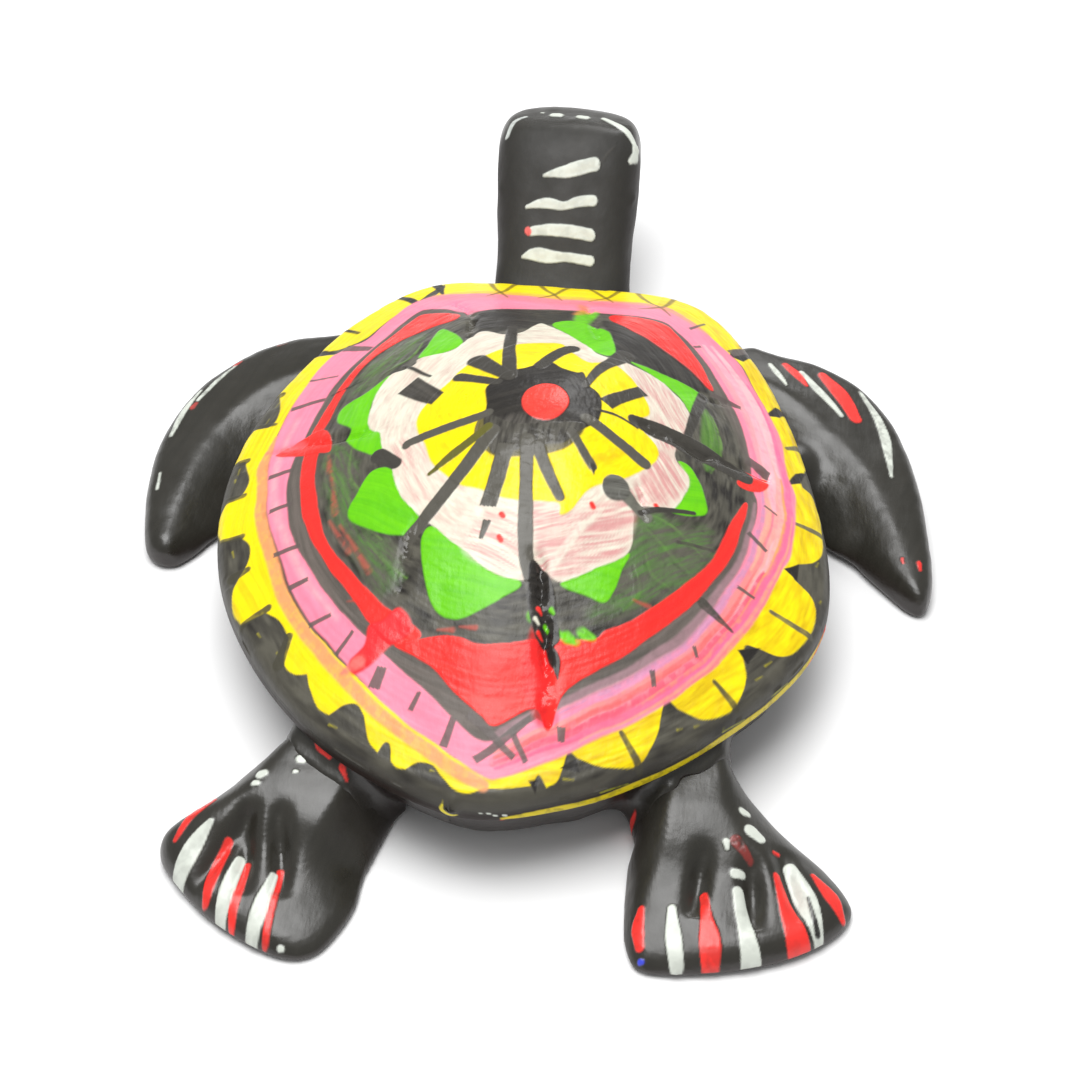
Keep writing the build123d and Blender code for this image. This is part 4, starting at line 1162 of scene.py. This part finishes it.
def skin(field, low, cell):
    """Four-cornered faces over the zero level of a distance field on a regular grid."""
    field = field.copy()
    for axis in range(3):
        for end in (0, -1):
            face = [slice(None)] * 3
            face[axis] = end
            field[tuple(face)] = np.maximum(field[tuple(face)], 0.05)
    shape = np.array(field.shape)
    cells = shape - 1
    count = np.zeros(cells)
    total = np.zeros((*cells, 3))

    def corner(offset):
        return tuple(slice(o, o + c) for o, c in zip(offset, cells))

    for axis in range(3):
        others = [a for a in range(3) if a != axis]
        for i in (0, 1):
            for j in (0, 1):
                start = [0, 0, 0]
                start[others[0]], start[others[1]] = i, j
                end = list(start)
                end[axis] = 1
                a, b = field[corner(start)], field[corner(end)]
                crosses = (a < 0) != (b < 0)
                t = np.where(crosses, a / np.where(crosses, a - b, 1), 0)
                count += crosses
                total[..., axis] += t
                total[..., others[0]] += i * crosses
                total[..., others[1]] += j * crosses
    used = count > 0
    index = np.full(cells, -1)
    index[used] = np.arange(used.sum())
    where = np.stack(np.nonzero(used), -1)
    points = (where + total[used] / count[used][:, None]) * cell + np.asarray(low)
    faces = []
    for axis in range(3):
        u, v = [(1, 2), (2, 0), (0, 1)][axis]
        span = [slice(1, -1)] * 3
        span[axis] = slice(0, -1)
        ahead = list(span)
        ahead[axis] = slice(1, None)
        a, b = field[tuple(span)] < 0, field[tuple(ahead)] < 0
        for inside_first in (True, False):
            spots = np.stack(np.nonzero((a != b) & (a == inside_first)), -1)
            spots[:, u] += 1
            spots[:, v] += 1
            back_u, back_v = np.zeros(3, int), np.zeros(3, int)
            back_u[u], back_v[v] = 1, 1
            ring = [spots - back_u - back_v, spots - back_v, spots, spots - back_u]
            if not inside_first:
                ring = ring[::-1]
            faces.append(np.stack([index[tuple(r.T)] for r in ring], -1))
    return points, np.vstack(faces)


def field_piece(name, field, low, high, cell, replaces):
    """A piece from a distance field inside a box given in millimetres."""
    axes = [np.arange(a, b + cell, cell) for a, b in zip(low, high)]
    x, y, z = np.meshgrid(*axes, indexing="ij")
    points, faces = skin(field(x, y, z), [axis[0] for axis in axes], cell)
    piece = make_piece(name, points, faces, black_material(), [replaces])
    subdivide(piece)
    return piece


def root_distance(name, x, y, turned=False):
    """Distance outwards from a limb's joint plane, or sideways from its peg when turned."""
    rx, ry, heading = roots[name]
    if turned:
        rx, ry = ry, -rx
    c, s = math.cos(math.radians(heading)), math.sin(math.radians(heading))
    return (x - rx) * c + (y - ry) * s


def carve(piece, seed, amount, scale=5.0):
    """Slight hand-carved unevenness and brush texture over a piece's points."""
    points, normals = mesh_points(piece)
    lift = amount * solid_noise(points, scale, seed) + 0.3 * amount * solid_noise(points, 1.7, seed + 7)
    lift *= step(0.3, 2.5, points[:, 2])                        # the underside stays flat
    points = points + normals * lift[:, None]
    points[:, 2] = np.maximum(points[:, 2], 0.0)
    move_points(piece, points)
    return points, normals


def black_coat(points, normals, seed, facing=0.2):
    """Black paint over a limb, with painted shade in brown-black where the surface turns sideways or
    down, and a plan to paint marks in where the surface faces up.
    """
    fade = step(facing, facing + 0.25, normals[:, 2])
    coat = Coat(points[:, 0], points[:, 1], (points[:, 0], points[:, 1]), BLACK, fade)
    everywhere = np.arange(len(points))
    coat.colour[:] = coat.shade(everywhere, (0.168, 0.162, 0.140), GREY_BLACK, 0.05, seed, angle=70,
                                length=8, width=1.1)
    # painted shade: surfaces that face sideways or down turn brown-black
    shade = step(0.75, 0.1, normals[:, 2])[:, None]
    coat.colour += (linear(SHADE_BROWN_BLACK) * 0.8 - coat.colour) * shade
    coat.gloss[:] = 0.34 + 0.05 * solid_noise(points, 3.0, seed + 3)
    return coat


def finish_limb(piece, coat, points, normals):
    """Store the paint and lift the surface by its thickness."""
    set_paint(piece, coat)
    move_points(piece, points + normals * (coat.thick * 1.2)[:, None])


def make_head():
    """Head and neck, with the white stripes, nostrils, mouth line and eyes."""
    def field(x, y, z):
        return np.maximum(head_field(x, y, z), 43.5 - y)
    piece = field_piece("head_painted", field, (-15, 42, -1), (14, 87, 34), 0.42, "head")
    points, normals = carve(piece, 401, 0.14)
    coat = black_coat(points, normals, 402, facing=0.02)
    stripes = (                                                  # white strokes across the neck
        ([(-4.6, 66.0), (-0.6, 66.8), (3.3, 68.0)], [0.4, 1.7, 1.9]),
        ([(-7.0, 62.2), (-4, 62.5), (-1, 62.3), (1, 62.9), (3.6, 63.2)], [0.5, 1.4, 1.1, 1.4, 1.3]),
        ([(-5.8, 59.0), (-1, 59.2), (3.6, 59.1)], [1.2, 1.6, 1.5]),
        ([(-6.8, 55.9), (-5, 56.1), (-2, 55.9), (0, 55.9), (3.9, 55.8)], [0.5, 1.6, 1.5, 1.2, 1.4]),
    )
    for number, (path, widths) in enumerate(stripes):
        coat.stroke(path, widths, WHITE, thick=0.12, gloss=0.35, dry=0.18, seed=410 + number)
        coat.stroke(path, [w * 0.5 for w in widths], (0.78, 0.78, 0.72), dry=0.8, opacity=0.5,
                    edge=0.3, seed=420 + number)
    coat.stroke([(-6.6, 59.2), (-6.3, 58.9)], 0.9, (0.90, 0.40, 0.38), thick=0.05)
    coat.stroke([(4.2, 68.2), (6.4, 71.2)], [0.5, 0.2], GREY_BLACK, dry=0.6, opacity=0.6)
    for x, y in ((-4.1, 78.2), (0.4, 77.7)):
        coat.stroke([(x - 0.35, y), (x + 0.45, y - 0.1)], 1.5, WHITE, thick=0.15)
    coat.stroke([(-6.6, 79.6), (-6.3, 79.5)], 0.4, WHITE)
    coat.stroke([(3.8, 78.0), (7.0, 75.7), (9.4, 73.5)], [1.0, 1.4, 1.0], WHITE, thick=0.1)
    coat.fade = step(-0.3, 0.1, normals[:, 2]) * step(20, 22, points[:, 2])
    coat.stroke([(9.4, 73.5), (9.5, 71.8), (8.8, 70.2)], [1.0, 0.9, 0.5], WHITE, thick=0.1)
    coat.stroke([(-11.4, 73), (-10.6, 75.6), (-8.8, 77.4)], [0.7, 0.8, 0.5], (0.8, 0.82, 0.8), dry=0.3)
    # behind the brow: rougher paint, and painted shade that makes the dark paint about a third darker
    back = step(75.5, 72, points[:, 1])
    coat.gloss += 0.3 * back
    coat.colour *= 1 - 0.35 * (back * step(0.2, 0.05, coat.colour.max(1)))[:, None]
    coat.gloss -= 0.08 * step(73.6, 75, points[:, 1]) * step(78, 76.5, points[:, 1])
    for x, size in ((-12.1, 0.4), (10.6, 0.6)):
        spot = np.sqrt((points[:, 0] - x) ** 2 + ((points[:, 1] - 66.2) / 1.6) ** 2
                       + (points[:, 2] - 25) ** 2)
        cover = 0.9 * (1 - step(size, size + 0.3, spot + 0.3 * solid_noise(points, 0.8, 7)))
        coat.fade = 1.0
        coat.put(np.arange(len(points)), cover, WHITE, 0.05, 0.4)
    finish_limb(piece, coat, points, normals)


def make_flipper(name, low, high, marks):
    """A front flipper with its marks, cut off at the joint plane."""
    body = flipper_field(name)

    def field(x, y, z):
        return smooth_max(body(x, y, z), -root_distance(name, x, y), 0.3)
    piece = field_piece(f"{name}_flipper_painted", field, low, high, 0.45, f"{name}_flipper")
    points, normals = carve(piece, 431 if name == "front_left" else 441, 0.16)
    coat = black_coat(points, normals, 433, facing=-0.25)
    for path, widths, colour, dry in marks:
        coat.stroke(path, widths, colour, thick=0.08, gloss=0.38, dry=dry,
                    seed=int(450 + abs(path[0][0])))
    finish_limb(piece, coat, points, normals)


def make_foot(name, low, high, marks):
    """A hind leg with its marks, cut off just inside the joint plane."""
    body = foot_field(name)

    def field(x, y, z):
        return smooth_max(body(x, y, z), -root_distance(name, x, y) - 0.5, 0.3)
    piece = field_piece(f"{name}_leg_painted", field, low, high, 0.4, f"{name}_leg")
    points, normals = carve(piece, 461 if name == "hind_left" else 471, 0.13)
    coat = black_coat(points, normals, 463, facing=-0.1)
    for path, widths, colour, dry in marks:
        coat.stroke(path, widths, colour, thick=0.1, gloss=0.36, dry=dry,
                    seed=int(480 + abs(path[0][0] * 3)))
    finish_limb(piece, coat, points, normals)


left_flipper_marks = [
    ([(-57.5, 20.2), (-56.8, 24.6), (-54.8, 29.6)], [0.6, 1.2, 0.5], WHITE, 0.4),
    ([(-54.6, 27.4), (-52.6, 31.2), (-50, 34.6)], [0.6, 0.8, 0.3], WHITE, 0.45),
    ([(-57.5, 9.6), (-57.5, 12.4)], [0.5, 0.4], WHITE, 0.3),
    ([(-55.2, 25.8), (-54.8, 26.6)], [0.9, 0.7], (0.80, 0.30, 0.28), 0.4),
    ([(-50.2, 34.8), (-49.4, 35.6)], [0.7, 0.4], (0.80, 0.30, 0.28), 0.5),
    ([(-44, 39), (-42.8, 39.4)], [0.5, 0.3], (0.60, 0.40, 0.38), 0.6),
]
right_flipper_marks = [
    ([(33.9, 40.9), (35.2, 38.6), (36.4, 36.6)], [0.7, 1.0, 0.4], WHITE, 0.3),
    ([(36.2, 41.6), (38, 39.6), (39.6, 37.6)], [1.0, 1.6, 0.6], RED, 0.3),
    ([(38.8, 40.4), (41.8, 36.8), (45.2, 32.6)], [0.8, 1.4, 0.7], WHITE, 0.25),
    ([(42.2, 40.8), (45.2, 37.2), (47.4, 32.8)], [1.6, 2.7, 2.0], RED, 0.15),
    ([(48.2, 39.2), (50.8, 34.4), (52.4, 29), (53.2, 22.6)], [0.6, 1.3, 1.6, 0.5], WHITE, 0.35),
    ([(55.2, 8.2), (55.4, 7.4)], [0.4, 0.3], RED, 0.3),
    ([(57.7, 7.8), (57.9, 6.8)], [0.7, 0.5], RED, 0.3),
]
left_foot_marks = [
    ([(-25.2, -42), (-24.8, -42.1)], [1.2, 1.1], WHITE, 0),
    ([(-30.3, -44.7), (-29.7, -44.5)], [1.3, 1.0], WHITE, 0),
    ([(-30.9, -46), (-30.4, -46)], [0.8, 0.7], WHITE, 0),
    ([(-25.5, -44), (-25.3, -44)], [0.6, 0.5], WHITE, 0),
    ([(-35.9, -51.2), (-38, -54.4), (-39.4, -58.2)], [0.9, 2.6, 2.2], WHITE, 0.15),
    ([(-33.3, -52.8), (-34.4, -57), (-34.9, -61.2)], [1.2, 1.9, 0.9], RED, 0.15),
    ([(-30.4, -55.8), (-30.8, -60), (-30.9, -64.2)], [1.2, 1.5, 0.9], RED, 0.2),
    ([(-31.4, -55.2), (-32.2, -59.8), (-32.7, -64.4)], [1.3, 2.1, 1.5], WHITE, 0.1),
    ([(-25.8, -56), (-26, -60), (-26, -66)], [1.0, 1.1, 0.8], RED, 0.35),
    ([(-26.6, -56.8), (-27.4, -61.4), (-27.9, -66)], [1.0, 2.1, 1.8], WHITE, 0.15),
    ([(-24.2, -66.2), (-23.8, -66.2)], [0.6, 0.5], WHITE, 0),
    ([(-36.2, -47.4), (-38.8, -50), (-40.6, -53)], [0.7, 1.3, 0.6], RED, 0.35),
    ([(-23.2, -39.4), (-22.4, -40.6), (-21.2, -42)], [1.0, 1.3, 0.8], RED, 0.5),
    ([(-19.4, -43.4), (-18.6, -44.6)], [0.9, 0.4], RED, 0.4),
]
right_foot_marks = [
    ([(34.1, -42.5), (34.7, -42.5)], [1.1, 0.9], WHITE, 0),
    ([(35.3, -45), (36.5, -45.7)], [1.9, 1.5], WHITE, 0.05),
    ([(32.1, -47.3), (32.3, -48)], [0.9, 0.6], WHITE, 0.1),
    ([(33.6, -50.8), (34.6, -50.7)], [1.2, 1.0], WHITE, 0.1),
    ([(33.4, -47.0), (35.6, -49)], [1.6, 0.8], (0.50, 0.18, 0.16), 0.85),
    ([(38.6, -46.8), (39.2, -46.8)], [0.5, 0.5], RED, 0.2),
    ([(21.9, -56.2), (21.7, -58.6), (22.3, -61.2)], [0.9, 1.6, 1.2], RED, 0.2),
    ([(25.9, -56.2), (26.4, -59.6), (27.1, -63)], [1.1, 2.1, 1.9], WHITE, 0.12),
    ([(29.8, -53.8), (30.4, -57), (31.1, -60), (31.5, -63.2)], [1.0, 1.5, 2.7, 2.1], RED, 0.25),
    ([(34.3, -53), (35.3, -57), (36.7, -61.8)], [1.5, 2.0, 2.9], WHITE, 0.1),
    ([(39.2, -50.1), (40.8, -54.4), (42.8, -58.8)], [0.9, 2.0, 3.4], RED, 0.12),
    ([(41, -48.6), (43.4, -53), (45.4, -57.6)], [1.9, 2.8, 1.2], WHITE, 0.12),
    ([(43.4, -52.2), (44.9, -56.6)], [0.3, 0.8], BLACK, 0.1),
    ([(44.1, -48.6), (46.2, -51), (48.2, -53.8)], [0.8, 2.0, 0.8], RED, 0.15),
    ([(22.4, -62.8), (22.7, -62.8)], [0.6, 0.5], (0.25, 0.3, 0.85), 0.2),
    ([(19.6, -42.2), (19.3, -42.9)], [1.1, 0.7], RED, 0.3),
]


def make_collar(name, limb, low, high, blend, rough, reach_out):
    """Layer of putty smoothed over a joint, a little proud of the wood on both sides."""
    def field(x, y, z):
        joined = smooth_min(belly_field(x, y, z), limb(x, y, z), blend) - 0.07
        away = root_distance(name, x, y)
        ragged = rough * noise(x + 0.4 * z, y, 3.0, 500)
        slab = np.maximum(away - reach_out - ragged, -1.5 - away)
        return smooth_max(np.maximum(joined, z - rim_bottom - 0.4), slab, 0.25)
    piece = field_piece(f"{name}_filler_painted", field, low, high, 0.45, f"{name}_filler")
    points, normals = carve(piece, 510, 0.12 + 0.1 * rough, 2.6)
    coat = black_coat(points, normals, 512, facing=-0.8)
    if rough > 0.3:
        for path, widths, colour, dry in left_foot_marks[-2:] + right_foot_marks[-1:]:
            coat.stroke(path, widths, colour, thick=0.06, dry=dry, seed=520)
    finish_limb(piece, coat, points, normals)


def make_belly():
    """The body under the shell, black, with painted shade in brown-black where it faces sideways or down.
    """
    piece = field_piece("belly_painted", belly_field, (-46, -52, -1), (46, 53, 14), 0.6, "belly_block")
    points, normals = carve(piece, 541, 0.2, 7.0)
    coat = black_coat(points, normals, 543, facing=-2)
    set_paint(piece, coat)


# ---------------------------------------------------------------------------------------------
# Materials
# ---------------------------------------------------------------------------------------------
def new_material(name):
    """A named material, its nodes and its shader."""
    material = bpy.data.materials.new(name)
    material.use_nodes = True
    tree = material.node_tree
    return material, tree, tree.nodes["Principled BSDF"]


def add_node(tree, kind, inputs=None, **settings):
    """A node with settings and socket values."""
    node = tree.nodes.new(kind)
    for key, value in settings.items():
        setattr(node, key, value)
    for key, value in (inputs or {}).items():
        node.inputs[key].default_value = value
    return node


def noise_node(tree, per_metre, stretch=(1, 1, 1), detail=4.0, distortion=0.0):
    """Noise in the part's own space, with a size given as waves in a metre."""
    place = add_node(tree, "ShaderNodeTexCoord")
    scale = add_node(tree, "ShaderNodeMapping")
    scale.inputs["Scale"].default_value = stretch
    texture = add_node(tree, "ShaderNodeTexNoise", {"Scale": per_metre, "Detail": detail,
                                                    "Distortion": distortion})
    tree.links.new(place.outputs["Object"], scale.inputs["Vector"])
    tree.links.new(scale.outputs["Vector"], texture.inputs["Vector"])
    return texture.outputs["Fac"]


def map_range(tree, value, low, high):
    """A value from 0 to 1 spread between low and high."""
    node = add_node(tree, "ShaderNodeMapRange", {"To Min": low, "To Max": high})
    tree.links.new(value, node.inputs["Value"])
    return node.outputs["Result"]


def paint_material(name, grain, bump_height, rough_spread, specular):
    """Acrylic paint: brushed colour from the surface, varied gloss, grain and bristle relief."""
    material, tree, shader = new_material(name)
    colour = add_node(tree, "ShaderNodeAttribute", attribute_name="paint")
    shade = add_node(tree, "ShaderNodeMix", data_type="RGBA", blend_type="MULTIPLY")
    shade.inputs["Factor"].default_value = 1.0
    grey = add_node(tree, "ShaderNodeCombineColor")
    tone = map_range(tree, noise_node(tree, grain, detail=6.0), 0.86, 1.08)
    for channel in ("Red", "Green", "Blue"):
        tree.links.new(tone, grey.inputs[channel])
    tree.links.new(colour.outputs["Color"], shade.inputs["A"])
    tree.links.new(grey.outputs["Color"], shade.inputs["B"])
    tree.links.new(shade.outputs["Result"], shader.inputs["Base Color"])

    rough = add_node(tree, "ShaderNodeAttribute", attribute_name="rough")
    vary = map_range(tree, noise_node(tree, 420, detail=5.0), -rough_spread, rough_spread)
    total = add_node(tree, "ShaderNodeMath", operation="ADD")
    tree.links.new(rough.outputs["Fac"], total.inputs[0])
    tree.links.new(vary, total.inputs[1])
    tree.links.new(total.outputs["Value"], shader.inputs["Roughness"])
    shader.inputs["Specular IOR Level"].default_value = specular

    heights = add_node(tree, "ShaderNodeMath", operation="ADD")
    tree.links.new(noise_node(tree, 900, detail=5.0), heights.inputs[0])
    tree.links.new(noise_node(tree, 1500, (1, 0.15, 1), 3.0), heights.inputs[1])
    bump = add_node(tree, "ShaderNodeBump", {"Strength": 0.6, "Distance": bump_height})
    tree.links.new(heights.outputs["Value"], bump.inputs["Height"])
    tree.links.new(bump.outputs["Normal"], shader.inputs["Normal"])
    return material


made = {}


def shell_material():
    """The shell's paint, made once."""
    if "shell" not in made:
        made["shell"] = paint_material("shell_paint", 700, 0.00007, 0.08, 0.32)
    return made["shell"]


def black_material():
    """The glossier black paint of the limbs, made once."""
    if "black" not in made:
        made["black"] = paint_material("black_paint", 500, 0.00005, 0.08, 0.58)
    return made["black"]


def wood_material():
    """Plain light wood with rings and fibres, for the pegs and dowels."""
    material, tree, shader = new_material("raw_wood")
    ramp = add_node(tree, "ShaderNodeValToRGB")
    ramp.color_ramp.elements[0].color = (0.42, 0.24, 0.11, 1)
    ramp.color_ramp.elements[1].color = (0.68, 0.46, 0.26, 1)
    tree.links.new(noise_node(tree, 260, (1, 0.12, 1), 6.0, 0.6), ramp.inputs["Fac"])
    tree.links.new(ramp.outputs["Color"], shader.inputs["Base Color"])
    tree.links.new(map_range(tree, noise_node(tree, 600), 0.55, 0.8), shader.inputs["Roughness"])
    bump = add_node(tree, "ShaderNodeBump", {"Strength": 0.5, "Distance": 0.0001})
    tree.links.new(noise_node(tree, 1200, (1, 0.1, 1)), bump.inputs["Height"])
    tree.links.new(bump.outputs["Normal"], shader.inputs["Normal"])
    return material


def dress_wood():
    """Bare wood on the pegs and dowels inside."""
    wood = wood_material()
    for name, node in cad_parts.items():
        if name.endswith("_peg") or name.startswith("shell_dowel"):
            node.data.materials.clear()
            node.data.materials.append(wood)


# ---------------------------------------------------------------------------------------------
# Floor, light and camera
# ---------------------------------------------------------------------------------------------
def make_floor():
    """Plain pale floor, just below the figure."""
    material, tree, shader = new_material("floor")
    shader.inputs["Base Color"].default_value = (0.93, 0.93, 0.93, 1)
    shader.inputs["Roughness"].default_value = 0.9
    shader.inputs["Specular IOR Level"].default_value = 0.1
    size = 3.0
    mesh = bpy.data.meshes.new("floor")
    mesh.from_pydata([(-size, -size, 0), (size, -size, 0), (size, size, 0), (-size, size, 0)], [],
                     [(0, 1, 2, 3)])
    mesh.materials.append(material)
    floor = bpy.data.objects.new("floor", mesh)
    floor.location.z = -0.00002
    bpy.context.collection.objects.link(floor)


def aim(thing, place, target):
    """Put a light or camera at a place, looking at a target, all in millimetres."""
    from mathutils import Vector
    place, target = Vector(place) * MM, Vector(target) * MM
    thing.location = place
    thing.rotation_euler = (target - place).to_track_quat("-Z", "Y").to_euler()


def make_lights():
    """White surroundings, one large softbox overhead and a weaker one in front of the head."""
    world = bpy.data.worlds.new("studio")
    bpy.context.scene.world = world
    world.use_nodes = True
    world.node_tree.nodes["Background"].inputs["Color"].default_value = (1, 1, 1, 1)
    world.node_tree.nodes["Background"].inputs["Strength"].default_value = 0.40
    softboxes = (                                       # name, place, size, watts
        ("overhead", (-40, -30, 430), 300, 2.05), ("front_fill", (60, 420, 300), 200, 0.6),
    )
    for name, place, size, watts in softboxes:
        light = bpy.data.lights.new(name, "AREA")
        light.size = size * MM
        light.energy = watts
        lamp = bpy.data.objects.new(name, light)
        bpy.context.collection.objects.link(lamp)
        aim(lamp, place, (0, 0, 15))


def make_camera():
    """The camera, behind the tail and well above it."""
    azimuth, elevation, distance = math.radians(6.5), math.radians(47.0), 320.0
    target = (2.75, -4.3, 17.0)
    back = (math.sin(azimuth) * math.cos(elevation), -math.cos(azimuth) * math.cos(elevation),
            math.sin(elevation))
    camera = bpy.data.cameras.new("camera")
    camera.sensor_width = 36.0
    camera.lens = 74.97
    camera.clip_start, camera.clip_end = 0.01, 20.0
    holder = bpy.data.objects.new("camera", camera)
    bpy.context.collection.objects.link(holder)
    aim(holder, [t + distance * b for t, b in zip(target, back)], target)
    bpy.context.scene.camera = holder


make_carapace()
make_belly()
make_head()
make_flipper("front_left", (-61, -3, -1), (-20, 43, 16), left_flipper_marks)
make_flipper("front_right", (20, 0, -1), (62, 48, 16), right_flipper_marks)
make_foot("hind_left", (-45, -69, -1), (-9, -28, 14), left_foot_marks)
make_foot("hind_right", (14, -66, -1), (52, -26, 14), right_foot_marks)
make_collar("neck", head_field, (-16, 38, -1), (16, 53, 14), 3.0, 0.2, 6.0)
for collar_name, low_corner, high_corner in (("front_left", (-48, 2, -1), (-24, 44, 14)),
                                             ("front_right", (24, 2, -1), (48, 47, 14))):
    make_collar(collar_name, flipper_field(collar_name), low_corner, high_corner, 3.0, 0.2, 7.0)
for collar_name, low_corner, high_corner in (("hind_left", (-40, -58, -1), (-4, -24, 14)),
                                             ("hind_right", (6, -56, -1), (44, -22, 14))):
    make_collar(collar_name, foot_field(collar_name), low_corner, high_corner, 4.0, 0.9, 6.5)
dress_wood()
make_floor()
make_lights()
make_camera()

scene = bpy.context.scene
scene.view_settings.view_transform = "Standard"
